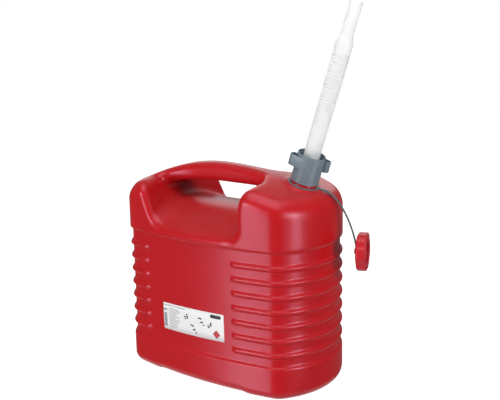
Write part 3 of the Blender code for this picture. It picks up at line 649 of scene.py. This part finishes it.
tube_rows = np.linspace(FLANGE_HIGH + 0.0020, BELLOWS_START, 16)[:-1]
bellows_share = np.linspace(0, 1, BELLOWS_RINGS * 8 + 1)
nozzle_rise = np.linspace(0, NOZZLE_LENGTH, 90)[1:]
wall_radius = np.concatenate([np.full(len(tube_rows), SPOUT_RADIUS), bellows_wall(bellows_share),
                              nozzle_wall(nozzle_rise)])
wall_height = np.concatenate([tube_rows, BELLOWS_START + BELLOWS_LENGTH * bellows_share,
                              BELLOWS_START + BELLOWS_LENGTH + nozzle_rise])
to_tip = np.clip((wall_height - wall_height[-1] + TIP_ROUND) / TIP_ROUND, 0, 1)
tip_share = 1 - np.sqrt(1 - to_tip ** 2)
outer_wall = np.stack([wall_radius - 0.0004 * tip_share, wall_height], axis=-1)
inner_wall = np.stack([wall_radius - SPOUT_WALL + 0.0006 * tip_share, wall_height], axis=-1)[::-1]
spout_bore = SPOUT_RADIUS - SPOUT_WALL
spout_outline = np.concatenate([
    [(spout_bore, FLANGE_LOW), (FLANGE_RADIUS - 0.0004, FLANGE_LOW),
     (FLANGE_RADIUS, FLANGE_LOW + 0.0004), (FLANGE_RADIUS, FLANGE_HIGH - 0.0004),
     (FLANGE_RADIUS - 0.0004, FLANGE_HIGH), (SPOUT_RADIUS + 0.0004, FLANGE_HIGH),
     (SPOUT_RADIUS, FLANGE_HIGH + 0.0008)],
    outer_wall, inner_wall])
spout_moulding = surface("spout_moulding", neck.to_world(turn_profile(spout_outline, 72)),
                         wrap_rows=True)
spout_length = wall_height[-1] - FLANGE_LOW
print("spout length, mm:", round(spout_length * 1000, 1), "rows:", len(spout_outline))

# %% [markdown]
# ## The strap
# Ring, band and eyelet come out of one mould. The band is a soft flat spring that hangs over the
# can's edge, so its path is a Bezier curve: it leaves the ring level and ends almost upright. It
# starts on the ring's lug, at the flexing joint.

# %% Strap ring with its lug
RING_RADIUS = 0.0256
RING_HOLE = NECK_ROOT_RADIUS + 0.0005
RING_THICKNESS = 0.0026
RING_TOP = -0.0040
BAND_WIDTH = 0.0050
BAND_THICKNESS = 0.0030

ring_low = RING_TOP - RING_THICKNESS
ring_outline = rounded([(RING_HOLE, ring_low), (RING_RADIUS, ring_low), (RING_RADIUS, RING_TOP),
                        (RING_HOLE, RING_TOP)], [0.0003, 0.0007, 0.0007, 0.0003])
strap_ring = surface("strap_neck_ring", neck.to_world(turn_profile(ring_outline, 80)), wrap_rows=True)

lug_turn = math.atan2(strap_out[1], strap_out[0])
lug_path = np.linspace((RING_HOLE + 0.0022, 0), (RING_RADIUS + 0.0049, 0), 6)
lug_grid = flat_bar(lug_path, BAND_WIDTH, RING_THICKNESS, edge=0.0006)
lug_grid[..., 2] += ring_low + RING_THICKNESS / 2
c, s = math.cos(lug_turn), math.sin(lug_turn)
lug_grid = lug_grid @ np.array([[c, s, 0], [-s, c, 0], [0, 0, 1]])
strap_lug = surface("strap_ring_lug", neck.to_world(lug_grid))
print("lug turned on the neck by, degrees:", round(math.degrees(lug_turn), 1))

# %% Band and eyelet
BAND_REACH = 0.0548
BAND_DROP = 0.0938
EYELET_RADIUS = 0.0070
CAP_DROP = BAND_DROP + EYELET_RADIUS - 0.0020


def bezier(start, first, second, end, count):
    """Cubic Bezier: the four points weighted by the terms of (u + t) cubed."""
    t = np.linspace(0, 1, count)[:, None]
    u = 1 - t
    return (np.array(start) * u ** 3 + 3 * np.array(first) * u * u * t
            + 3 * np.array(second) * u * t * t + np.array(end) * t ** 3)


band_curve = bezier((-0.0012, 0), (0.0225, 0.0010), (BAND_REACH - 0.0033, 0.0368 - BAND_DROP),
                    (BAND_REACH, -BAND_DROP - 0.0010), 200)
band_line = even_points(band_curve, 60)
band_bar = flat_bar(band_line, BAND_THICKNESS - 0.0006, BAND_WIDTH, edge=0.0008)
band_grid = np.stack([band_bar[..., 0], band_bar[..., 2], band_bar[..., 1]], axis=-1)
strap_band = surface("strap_band", strap.to_world(band_grid))
band_length = float(np.linalg.norm(np.diff(band_curve, axis=0), axis=1).sum())
print("band length, mm:", round(band_length * 1000, 1))

eyelet_half = BAND_THICKNESS / 2
eyelet_outline = rounded([(0.0035, -eyelet_half), (EYELET_RADIUS, -eyelet_half),
                          (EYELET_RADIUS, eyelet_half), (0.0035, eyelet_half)],
                         [0.0004, 0.0009, 0.0009, 0.0004])
eyelet_place = Place(strap.to_world((BAND_REACH, 0, -CAP_DROP)), cap.axes[0], cap.axes[1], cap_axis)
strap_eyelet = surface("strap_eyelet", eyelet_place.to_world(turn_profile(eyelet_outline, 40)),
                       wrap_rows=True)

# %% [markdown]
# ## The screw cap
# Seen from outside the cap is a flower of six soft lobes; seen from its open side it has two
# walls, the inner one with a thread. One outline is turned into the whole cap: each of its points
# has a radius, a height, and a share that says how much the lobes may pull it in.

# %% Cap outline: radius, height and lobe share
CAP_RADIUS = 0.0315
CAP_GRIP = 0.0165
CAP_SKIRT = 0.0175
CAP_LOBES = 6
SKIRT_RADIUS = NUT_BORE + 0.0040
GROOVE_DEPTH = 0.0017
BELLY = 0.0004
CAP_THREAD_DEPTH = 0.000315
CAP_STEPS = 144

outer_rows = np.linspace(0.0030, CAP_GRIP - 0.0012, 10)
skirt_rows = np.linspace(CAP_SKIRT - 0.0006, 0.0036, 40)
cap_outline = np.concatenate([
    [(0.0030, 0.0000, 0), (0.0120, 0.0000, 0), (0.0220, 0.0000, 0.3), (0.0262, 0.0002, 0.8),
     (0.0286, 0.0006, 1), (0.0303, 0.0014, 1), (0.0312, 0.0026, 1)],
    np.stack([np.full(10, CAP_RADIUS), outer_rows, np.ones(10)], axis=-1),
    [(0.0313, CAP_GRIP - 0.0005, 1), (0.0308, CAP_GRIP - 0.0001, 1), (0.0302, CAP_GRIP, 1),
     (0.0284, CAP_GRIP, 1), (0.0276, CAP_GRIP - 0.0004, 0.8), (0.0272, CAP_GRIP - 0.0012, 0.6),
     (0.0270, 0.0040, 0.4), (0.0264, 0.0032, 0.2), (0.0252, 0.0032, 0), (SKIRT_RADIUS, 0.0040, 0),
     (SKIRT_RADIUS, CAP_SKIRT - 0.0008, 0), (SKIRT_RADIUS - 0.0004, CAP_SKIRT - 0.0002, 0),
     (SKIRT_RADIUS - 0.0012, CAP_SKIRT, 0), (NUT_BORE + 0.0010, CAP_SKIRT, 0),
     (NUT_BORE + 0.0003, CAP_SKIRT - 0.0003, 0)],
    np.stack([np.full(40, NUT_BORE), skirt_rows, np.zeros(40)], axis=-1),
    [(NUT_BORE - 0.0006, 0.0030, 0), (0.0100, 0.0030, 0), (0.0010, 0.0030, 0)]])


def lobed_turn(outline, steps):
    """Turn the outline, then pull its points in towards the axis.

    A lobe's groove pulls by share * depth * wave ** 6, with wave = |cos(lobes * angle / 2)|, and
    its belly by share * belly * wave ** 2. The thread inside is a bump along height + angle.
    """
    grid = turn_profile(outline[:, :2], steps)
    angle = np.linspace(0, 2 * np.pi, steps, endpoint=False)
    wave = np.abs(np.cos(CAP_LOBES * angle / 2))
    pull = outline[:, 2][:, None] * (GROOVE_DEPTH * wave ** 6 + BELLY * wave ** 2)[None, :]
    climb = outline[:, 1][:, None] / THREAD_PITCH + angle[None, :] / (2 * np.pi)
    thread = CAP_THREAD_DEPTH * smooth_step(np.cos(2 * np.pi * climb), 0.1, 0.8)
    on_thread = (np.abs(outline[:, 0] - NUT_BORE) < 1e-6) & (outline[:, 1] < CAP_SKIRT - 0.0012)
    pull = pull + thread * on_thread[:, None]
    scale = 1 - pull / outline[:, 0][:, None]
    grid[..., :2] *= scale[..., None]
    return grid


cap_body = surface("cap_body", cap.to_world(lobed_turn(cap_outline, CAP_STEPS)))

STUD_RADIUS = 0.0030
HEAD_RADIUS = 0.0048
head_low = -0.0036
stud_outline = np.array([(0.0004, 0.0015), (STUD_RADIUS, 0.0015), (STUD_RADIUS, head_low),
                         (HEAD_RADIUS - 0.0003, head_low), (HEAD_RADIUS, head_low - 0.0004),
                         (HEAD_RADIUS - 0.0004, head_low - 0.0009), (0.0030, head_low - 0.0013),
                         (0.0004, head_low - 0.0014)])
cap_stud = surface("cap_stud", cap.to_world(turn_profile(stud_outline, 32)))
print("cap points:", len(cap_outline), "round:", CAP_STEPS)

# %% [markdown]
# ## The label
# The label is a printed film on the bowed panel. Its print is generic: plain bars, blocks and
# blots, with no letters and no pictures. Each patch is a thin slab whose front follows the same
# bow, one film thickness further out, so that nothing flickers or floats.

# %% The film, and patches on the bowed panel
LABEL_X, LABEL_Z = -0.0090, 0.1075
LABEL_LENGTH, LABEL_HEIGHT = 0.1320, 0.0470
LABEL_TURN = math.radians(1.0)
PANEL_RADIUS = LONG_RADIUS - RECESS
LABEL_GAP = 0.0002
FILM = 0.0003
INK = 0.00005
PRINT_LIFT = LABEL_GAP + FILM


def patch_grid(centre, size, corner, lift, thickness, columns):
    """A slab on the panel; half height falls near the ends so that the corners are round.

    With a corner of zero the half height falls evenly from the middle: a diamond.
    """
    u = np.sin(np.linspace(-math.pi / 2, math.pi / 2, columns)) * size[0] / 2
    into_corner = np.clip(np.abs(u) - (size[0] / 2 - corner), 0, corner * 0.999)
    half = size[1] / 2 - corner + np.sqrt(corner ** 2 - into_corner ** 2)
    if corner == 0:
        half = size[1] / 2 * (1.002 - np.abs(u) / (size[0] / 2))
    v = np.stack([-half, -half * 0.5, half * 0.5, half, half, half * 0.5, -half * 0.5, -half], axis=-1)
    depth = np.array([0, 0, 0, 0, 1, 1, 1, 1]) * thickness + lift
    a = centre[0] + u[:, None]
    b = centre[1] + v
    x = LABEL_X + a * math.cos(LABEL_TURN) - b * math.sin(LABEL_TURN)
    z = LABEL_Z + a * math.sin(LABEL_TURN) + b * math.cos(LABEL_TURN)
    radius = PANEL_RADIUS + depth[None, :]
    return np.stack([x, -side_y - np.sqrt(radius ** 2 - x ** 2), z], axis=-1)


def joined(name, grids):
    """One piece from several closed slabs of the same kind."""
    parts = [surface(name, grid) for grid in grids]
    with bpy.context.temp_override(active_object=parts[0], selected_editable_objects=parts):
        bpy.ops.object.join()
    return parts[0]


def print_patch(centre, size, corner, columns=24):
    """A slab of ink that lies on the film."""
    return patch_grid(centre, size, corner, PRINT_LIFT, INK, columns)


label_film = surface("label_film", patch_grid((0, 0), (LABEL_LENGTH, LABEL_HEIGHT), 0.0012,
                                              LABEL_GAP, FILM, columns=40))
print("film, mm:", LABEL_LENGTH * 1000, LABEL_HEIGHT * 1000)

# %% Print: bars for text, a block of short bars, blots, a badge and a diamond
TEXT_ROWS = 13
BLOCK_ROWS = (-8, -7, -6, -5, -4, -3, -2, -1, 0, 1, 2, 3, 6, 7)
BLOT_PLACES = ((-0.0130, 0.0075, 0.6), (0.0015, -0.0085, -0.7), (0.0185, 0.0070, -0.5),
               (0.0375, 0.0010, 0.9))
BLOTS = ((-0.0030, 0.0012, 0.0042, 0.0021), (0.0012, 0.0030, 0.0034, 0.0026),
         (0.0030, -0.0018, 0.0030, 0.0034), (0.0002, -0.0040, 0.0044, 0.0018),
         (0.0052, -0.0052, 0.0026, 0.0024))

line_rng = np.random.default_rng(7)
text_bars = [print_patch((-0.0400, 0.0195), (0.0500, 0.0011), 0.0003)]
for row in range(TEXT_ROWS):
    length = 0.0150 + 0.0130 * line_rng.random()
    centre = (-0.0530 + length / 2, 0.0150 - 0.0027 * row)
    text_bars.append(print_patch(centre, (length, 0.0009), 0.0003, columns=16))
label_lines = joined("label_lines", text_bars)

block_bars = []
for row in BLOCK_ROWS:
    length = 0.0078 if row > 5 else 0.0070
    centre = (-0.0612, -0.0015 + 0.0020 * row)
    block_bars.append(print_patch(centre, (length, 0.0015), 0.0002, columns=8))
label_block = joined("label_block", block_bars)

marks = []
for place_x, place_z, lean in BLOT_PLACES:
    for step_x, step_z, length, height in BLOTS:
        centre = (place_x + step_x + lean * step_z * 0.5, place_z + step_z + lean * step_x)
        marks.append(print_patch(centre, (length, height), 0.0007, columns=10))
label_marks = joined("label_marks", marks)
label_badge = surface("label_badge", print_patch((0.0500, 0.0175), (0.0220, 0.0062), 0.0028))
label_diamond = surface("label_diamond", print_patch((0.0510, -0.0125), (0.0150, 0.0150), 0))
print("label patches:", len(text_bars) + len(block_bars) + len(marks) + 2)

# %% [markdown]
# ## Finishes
# All the plastics share two effects, so each is a node group. The first is the moulded skin: a
# slow waviness that bends reflections, and a fine grain that softens them. The second is
# handling: thin scuffs that change only the roughness, and a little dust that gathers on faces
# that look up. The shader itself stays in each material.


# %% Helpers for node groups and materials
def new_group(name, inputs, outputs):
    """A shader node group; inputs are (name, default) and outputs are (name, socket type)."""
    group = bpy.data.node_groups.new(name, "ShaderNodeTree")
    for label, default in inputs:
        socket = group.interface.new_socket(label, in_out="INPUT", socket_type="NodeSocketFloat")
        socket.default_value = default
    for label, kind in outputs:
        group.interface.new_socket(label, in_out="OUTPUT", socket_type=kind)
    return group, group.nodes.new("NodeGroupInput"), group.nodes.new("NodeGroupOutput")


def node(tree, kind, links=(), **settings):
    """Add a node, set its properties, and link (input name or index, source socket) pairs."""
    made = tree.nodes.new(kind)
    for key, value in settings.items():
        if key.startswith("in_"):
            made.inputs[key[3:].replace("_", " ")].default_value = value
        else:
            setattr(made, key, value)
    for target, source in links:
        tree.links.new(source, made.inputs[target])
    return made


def math_node(tree, operation, first, second):
    """A Math node whose inputs are sockets or plain numbers."""
    made = tree.nodes.new("ShaderNodeMath")
    made.operation = operation
    for socket, source in zip(made.inputs, (first, second)):
        if isinstance(source, (int, float)):
            socket.default_value = source
        else:
            tree.links.new(source, socket)
    return made.outputs[0]


print("node helpers: new_group, node, math_node")

# %% Moulded skin: waviness and grain as one normal
skin_group, skin_in, skin_out = new_group(
    "moulded_skin",
    [("Wave Size", 30.0), ("Wave Depth", 0.0004), ("Grain Size", 900.0), ("Grain Depth", 0.00003)],
    [("Normal", "NodeSocketVector"), ("Mottle", "NodeSocketFloat")])
place = node(skin_group, "ShaderNodeTexCoord")
wave = node(skin_group, "ShaderNodeTexNoise",
            [("Vector", place.outputs["Object"]), ("Scale", skin_in.outputs["Wave Size"])],
            in_Detail=1.0)
grain = node(skin_group, "ShaderNodeTexNoise",
             [("Vector", place.outputs["Object"]), ("Scale", skin_in.outputs["Grain Size"])],
             in_Detail=2.0)
wave_bump = node(skin_group, "ShaderNodeBump",
                 [("Height", wave.outputs["Fac"]), ("Distance", skin_in.outputs["Wave Depth"])],
                 in_Strength=1.0)
grain_bump = node(skin_group, "ShaderNodeBump",
                  [("Height", grain.outputs["Fac"]), ("Distance", skin_in.outputs["Grain Depth"]),
                   ("Normal", wave_bump.outputs["Normal"])],
                  in_Strength=1.0)
skin_group.links.new(grain_bump.outputs["Normal"], skin_out.inputs["Normal"])
skin_group.links.new(wave.outputs["Fac"], skin_out.inputs["Mottle"])
print("moulded skin, nodes:", len(skin_group.nodes))

# %% Handling: scuffs and settled dust as masks
wear_group, wear_in, wear_out = new_group(
    "handling", [("Scuff Size", 90.0), ("Scuff Amount", 0.3), ("Dust Amount", 0.3)],
    [("Scuffs", "NodeSocketFloat"), ("Dust", "NodeSocketFloat")])
place = node(wear_group, "ShaderNodeTexCoord")
stretch = node(wear_group, "ShaderNodeMapping", [("Vector", place.outputs["Object"])])
stretch.inputs["Scale"].default_value = (1.0, 1.0, 7.0)
stretch.inputs["Rotation"].default_value = (0.3, 0.5, 0.2)
streak = node(wear_group, "ShaderNodeTexNoise",
              [("Vector", stretch.outputs["Vector"]), ("Scale", wear_in.outputs["Scuff Size"])],
              in_Detail=4.0)
cut = node(wear_group, "ShaderNodeMapRange", [("Value", streak.outputs["Fac"])],
           interpolation_type="SMOOTHSTEP", in_From_Min=0.60, in_From_Max=0.74)
scuffs = math_node(wear_group, "MULTIPLY", cut.outputs["Result"], wear_in.outputs["Scuff Amount"])
wear_group.links.new(scuffs, wear_out.inputs["Scuffs"])
facing = node(wear_group, "ShaderNodeNewGeometry")
split = node(wear_group, "ShaderNodeSeparateXYZ", [("Vector", facing.outputs["Normal"])])
upwards = node(wear_group, "ShaderNodeMapRange", [("Value", split.outputs["Z"])],
               interpolation_type="SMOOTHSTEP", in_From_Min=0.45, in_From_Max=1.0)
clouds = node(wear_group, "ShaderNodeTexNoise", [("Vector", place.outputs["Object"])],
              in_Scale=42.0, in_Detail=5.0)
settled = math_node(wear_group, "MULTIPLY", upwards.outputs["Result"], clouds.outputs["Fac"])
dust = math_node(wear_group, "MULTIPLY", settled, wear_in.outputs["Dust Amount"])
wear_group.links.new(dust, wear_out.inputs["Dust"])
print("node groups:", [group.name for group in bpy.data.node_groups])


# %% One moulded plastic
DUST_COLOUR = (0.62, 0.55, 0.52, 1.0)
SCUFF_ROUGHNESS = 0.25
DUST_ROUGHNESS = 0.35


def moulded_plastic(name, colour, deep_colour, roughness, waves, grain, dust, scuffs=0.3, settings=()):
    """Colour from a slow mottle, roughness from scuffs and dust, normal from the moulded skin."""
    material = bpy.data.materials.new(name)
    material.use_nodes = True
    tree = material.node_tree
    shader = tree.nodes["Principled BSDF"]
    skin = node(tree, "ShaderNodeGroup", node_tree=skin_group)
    for label, value in zip(("Wave Size", "Wave Depth", "Grain Size", "Grain Depth"), waves + grain):
        skin.inputs[label].default_value = value
    wear = node(tree, "ShaderNodeGroup", node_tree=wear_group)
    wear.inputs["Scuff Amount"].default_value = scuffs
    wear.inputs["Dust Amount"].default_value = dust
    base = node(tree, "ShaderNodeMix", [("Factor", skin.outputs["Mottle"])], data_type="RGBA")
    base.inputs["A"].default_value = (*deep_colour, 1.0)
    base.inputs["B"].default_value = (*colour, 1.0)
    dusty = node(tree, "ShaderNodeMix",
                 [("Factor", wear.outputs["Dust"]), ("A", base.outputs["Result"])], data_type="RGBA")
    dusty.inputs["B"].default_value = DUST_COLOUR
    tree.links.new(dusty.outputs["Result"], shader.inputs["Base Color"])
    scuffed = math_node(tree, "MULTIPLY", wear.outputs["Scuffs"], SCUFF_ROUGHNESS)
    dulled = math_node(tree, "MULTIPLY", wear.outputs["Dust"], DUST_ROUGHNESS)
    rough = math_node(tree, "ADD", math_node(tree, "ADD", scuffed, roughness), dulled)
    tree.links.new(rough, shader.inputs["Roughness"])
    tree.links.new(skin.outputs["Normal"], shader.inputs["Normal"])
    for socket, value in settings:
        shader.inputs[socket].default_value = value
    return material


print("roughness added by full scuffs and full dust:", SCUFF_ROUGHNESS, DUST_ROUGHNESS)

# %% The object's materials
RED_SHEEN = ("Specular Tint", (1.0, 0.72, 0.98, 1.0))

tank_red = moulded_plastic("blow_moulded_red", (0.550, 0.0092, 0.0120), (0.520, 0.0082, 0.0106), 0.29,
                           waves=(22.0, 0.0005), grain=(700.0, 0.00002), dust=0.05,
                           settings=[RED_SHEEN, ("Specular IOR Level", 0.46)])
cap_red = moulded_plastic("moulded_cap_red", (0.560, 0.0150, 0.0200), (0.530, 0.0135, 0.0185), 0.33,
                          waves=(60.0, 0.0002), grain=(1200.0, 0.00002), dust=0.03,
                          settings=[RED_SHEEN])
nut_grey = moulded_plastic("moulded_nut_grey", (0.195, 0.258, 0.300), (0.165, 0.225, 0.265), 0.34,
                           waves=(80.0, 0.0002), grain=(1300.0, 0.00003), dust=0.04)
strap_grey = moulded_plastic("soft_strap_grey", (0.135, 0.160, 0.180), (0.115, 0.140, 0.160), 0.42,
                             waves=(70.0, 0.0002), grain=(1500.0, 0.00003), dust=0.04)
spout_white = moulded_plastic("milky_spout", (0.975, 0.978, 0.984), (0.962, 0.966, 0.973), 0.34,
                              waves=(60.0, 0.0002), grain=(700.0, 0.000005), scuffs=0.2, dust=0.0,
                              settings=[("Transmission Weight", 0.58), ("IOR", 1.22)])
seal_black = moulded_plastic("seal_rubber", (0.020, 0.020, 0.021), (0.014, 0.014, 0.015), 0.62,
                             waves=(90.0, 0.0001), grain=(1600.0, 0.00005), dust=0.05)
film_white = moulded_plastic("printed_film", (0.940, 0.942, 0.945), (0.925, 0.928, 0.932), 0.38,
                             waves=(45.0, 0.0001), grain=(1500.0, 0.00001), scuffs=0.2, dust=0.02)


def print_ink(name, colour, deep_colour, roughness):
    """Ink: a smooth plastic with no dust of its own."""
    return moulded_plastic(name, colour, deep_colour, roughness,
                           waves=(45.0, 0.0001), grain=(1500.0, 0.00001), dust=0.0)


ink_grey = print_ink("print_grey", (0.330, 0.335, 0.345), (0.290, 0.295, 0.305), 0.42)
ink_slate = print_ink("print_slate", (0.170, 0.220, 0.270), (0.140, 0.190, 0.240), 0.42)
ink_dark = print_ink("print_dark", (0.012, 0.013, 0.016), (0.009, 0.010, 0.012), 0.40)
ink_red = print_ink("print_red", (0.560, 0.030, 0.035), (0.520, 0.026, 0.030), 0.40)
print("materials:", len(bpy.data.materials))

# %% [markdown]
# ## Putting the pieces on their bodies
# A piece moves with the body that it belongs to. The band and the ringed stretch cross a joint,
# so they belong to no body and stay where they are drawn. A CAD node whose plain shape is now
# drawn in full is replaced; the two seals are plain rings and keep their nodes, with a rubber finish.


# %% Finish and ride
def finish(piece, material, slot, body, *nodes):
    """Give a piece its material and body, and say which CAD nodes it stands in for; slot is not used.
    """
    piece.data.materials.clear()
    piece.data.materials.append(material)
    if body:
        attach(piece, body)
    if nodes:
        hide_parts(*nodes)


finish(tank_skin, tank_red, "red_tank", "tank", "tank_shell")
finish(tank_neck, tank_red, "red_tank", "tank", "tank_shell")
finish(label_film, film_white, "label_film", "tank", "front_label")
finish(label_lines, ink_grey, "label_film", "tank")
finish(label_block, ink_slate, "label_film", "tank")
finish(label_marks, ink_dark, "label_film", "tank")
finish(label_badge, ink_dark, "label_film", "tank")
finish(label_diamond, ink_red, "label_film", "tank")
finish(nut_barrel, nut_grey, "grey_nut", "nut", "union_nut")
finish(nut_loop_near, nut_grey, "grey_nut", "nut", "union_nut")
finish(nut_loop_far, nut_grey, "grey_nut", "nut", "union_nut")
finish(spout_moulding, spout_white, "natural_spout", None,
       "spout_tube", "spout_bellows", "spout_nozzle")
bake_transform(spout_moulding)
finish(strap_ring, strap_grey, "grey_strap", "ring", "strap_ring")
finish(strap_lug, strap_grey, "grey_strap", "ring", "strap_ring")
finish(strap_band, strap_grey, "grey_strap", None, "cap_strap")
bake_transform(strap_band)
finish(strap_eyelet, strap_grey, "grey_strap", "strap", "cap_strap")
finish(cap_body, cap_red, "red_cap", "cap", "cap_shell")
finish(cap_stud, cap_red, "red_cap", "cap", "cap_shell")
for seal in ("spout_seal", "cap_seal"):
    seal_object = frame["nodes"][seal]
    seal_object.data.materials.clear()
    seal_object.data.materials.append(seal_black)
print("pieces placed")

# %% [markdown]
# ## Stage, light and camera
# A pale floor runs back into a pale world, so no horizon shows. To the lens both are near white;
# to the plastic they are a dim studio, or their mirror image would bleach the red. Two tall
# soft boxes stand to the left and right of the corner that faces the camera: each puts one broad
# stripe on the face next to that corner, and the corner itself, which looks between them, stays
# deep red. A small box at the head of each makes its stripe strongest near the shoulder. A box
# above lights the roof, a glow from the table lifts the undersides of the beads, and a fill from
# behind puts a sheen on the floor of the scoops.

# %% Floor and world
FLOOR_HALF = 400.0
FLOOR_GLOW = 0.92
STUDIO_GLOW = 0.15
DIM_PAPER = (0.30, 0.30, 0.30, 1.0)
LIT_PAPER = (0.55, 0.55, 0.55, 1.0)
WHITE = (1.0, 1.0, 1.0, 1.0)


def seen_by_lens(tree):
    """One for what the lens sees, directly or through the spout's clear wall, and zero otherwise."""
    ray = node(tree, "ShaderNodeLightPath")
    return math_node(tree, "MAXIMUM", ray.outputs["Is Camera Ray"], ray.outputs["Is Transmission Ray"])


floor_grid = np.array([(-1, -1, 0), (1, -1, 0), (1, 1, 0), (-1, 1, 0)]) * FLOOR_HALF
floor = add_mesh("floor", floor_grid, [[0, 1, 2, 3]])
floor_paper = bpy.data.materials.new("floor_paper")
floor_paper.use_nodes = True
floor_tree = floor_paper.node_tree
floor_shader = floor_tree.nodes["Principled BSDF"]
floor_seen = seen_by_lens(floor_tree)
floor_tone = node(floor_tree, "ShaderNodeMix", [("Factor", floor_seen)], data_type="RGBA")
floor_tone.inputs["A"].default_value = DIM_PAPER
floor_tone.inputs["B"].default_value = LIT_PAPER
floor_tree.links.new(floor_tone.outputs["Result"], floor_shader.inputs["Base Color"])
floor_glow = math_node(floor_tree, "MULTIPLY", floor_seen, FLOOR_GLOW)
floor_tree.links.new(floor_glow, floor_shader.inputs["Emission Strength"])
floor_shader.inputs["Emission Color"].default_value = WHITE
floor_shader.inputs["Roughness"].default_value = 0.9
floor_shader.inputs["Specular IOR Level"].default_value = 0.0
floor.data.materials.append(floor_paper)
floor.visible_glossy = False
floor.visible_shadow = False

world = bpy.data.worlds.new("studio")
world.use_nodes = True
world_tree = world.node_tree
world_glow = node(world_tree, "ShaderNodeMapRange", [("Value", seen_by_lens(world_tree))],
                  in_To_Min=STUDIO_GLOW, in_To_Max=1.0)
world_tree.nodes["Background"].inputs["Color"].default_value = WHITE
world_tree.links.new(world_glow.outputs["Result"], world_tree.nodes["Background"].inputs["Strength"])
bpy.context.scene.world = world
print("floor half width, m:", FLOOR_HALF, "studio glow:", STUDIO_GLOW)


# %% Soft boxes
LIGHT_AIM = Vector((0.02, 0.0, 0.20))


def soft_box(name, azimuth, elevation, distance, size, power):
    """An area light that looks at the can's middle; azimuth runs from +X towards -Y."""
    a, e = math.radians(azimuth), math.radians(elevation)
    towards = Vector((math.cos(e) * math.cos(a), -math.cos(e) * math.sin(a), math.sin(e)))
    light = bpy.data.lights.new(name, "AREA")
    light.shape = "RECTANGLE"
    light.size, light.size_y = size
    light.energy = power
    lamp = bpy.data.objects.new(name, light)
    lamp.visible_camera = False
    facing = towards.to_track_quat("Z", "Y").to_matrix().to_4x4()
    lamp.matrix_world = Matrix.Translation(LIGHT_AIM + towards * distance) @ facing
    bpy.context.scene.collection.objects.link(lamp)


soft_box("left_box", 106.5, -9.5, 1.7, (0.48, 2.1), 15.5)
soft_box("left_head", 106.5, 19, 1.72, (0.44, 0.40), 5.0)
soft_box("right_box", 7.5, 3, 1.6, (0.34, 1.3), 9)
soft_box("right_head", 7.5, 21, 1.62, (0.34, 0.50), 4.5)
soft_box("top_box", 60, 75, 1.7, (1.6, 1.4), 15)
soft_box("table_glow", 60, -88, 1.3, (3.0, 3.0), 16)
soft_box("back_fill", 235, 24, 2.2, (2.2, 1.2), 9)

# %% Camera
CAMERA_PLACE = Vector((0.9139, -1.1758, 0.6244))
CAMERA_BACK = Vector((0.5847, -0.7822, 0.2151)).normalized()
CAMERA_ROLL = math.radians(1.07)
SENSOR = 36.0
FOCAL = 63.99
level_right = Vector((0, 0, 1)).cross(CAMERA_BACK).normalized()
level_up = CAMERA_BACK.cross(level_right)
right = level_right * math.cos(CAMERA_ROLL) - level_up * math.sin(CAMERA_ROLL)
up = level_right * math.sin(CAMERA_ROLL) + level_up * math.cos(CAMERA_ROLL)
turn = Matrix((right, up, CAMERA_BACK)).transposed().to_4x4()
lens = bpy.data.cameras.new("camera")
lens.sensor_width = SENSOR
lens.lens = FOCAL
camera = bpy.data.objects.new("camera", lens)
camera.matrix_world = Matrix.Translation(CAMERA_PLACE) @ turn
bpy.context.scene.collection.objects.link(camera)
bpy.context.scene.camera = camera
bpy.context.scene.view_settings.view_transform = "Standard"
print("camera looks down by, degrees:", round(math.degrees(math.asin(CAMERA_BACK.z)), 1))


# %% Boxes of the CAD model and of the finished object
def plain(box):
    """A box as plain lists of floats."""
    return [[float(value) for value in corner] for corner in box]
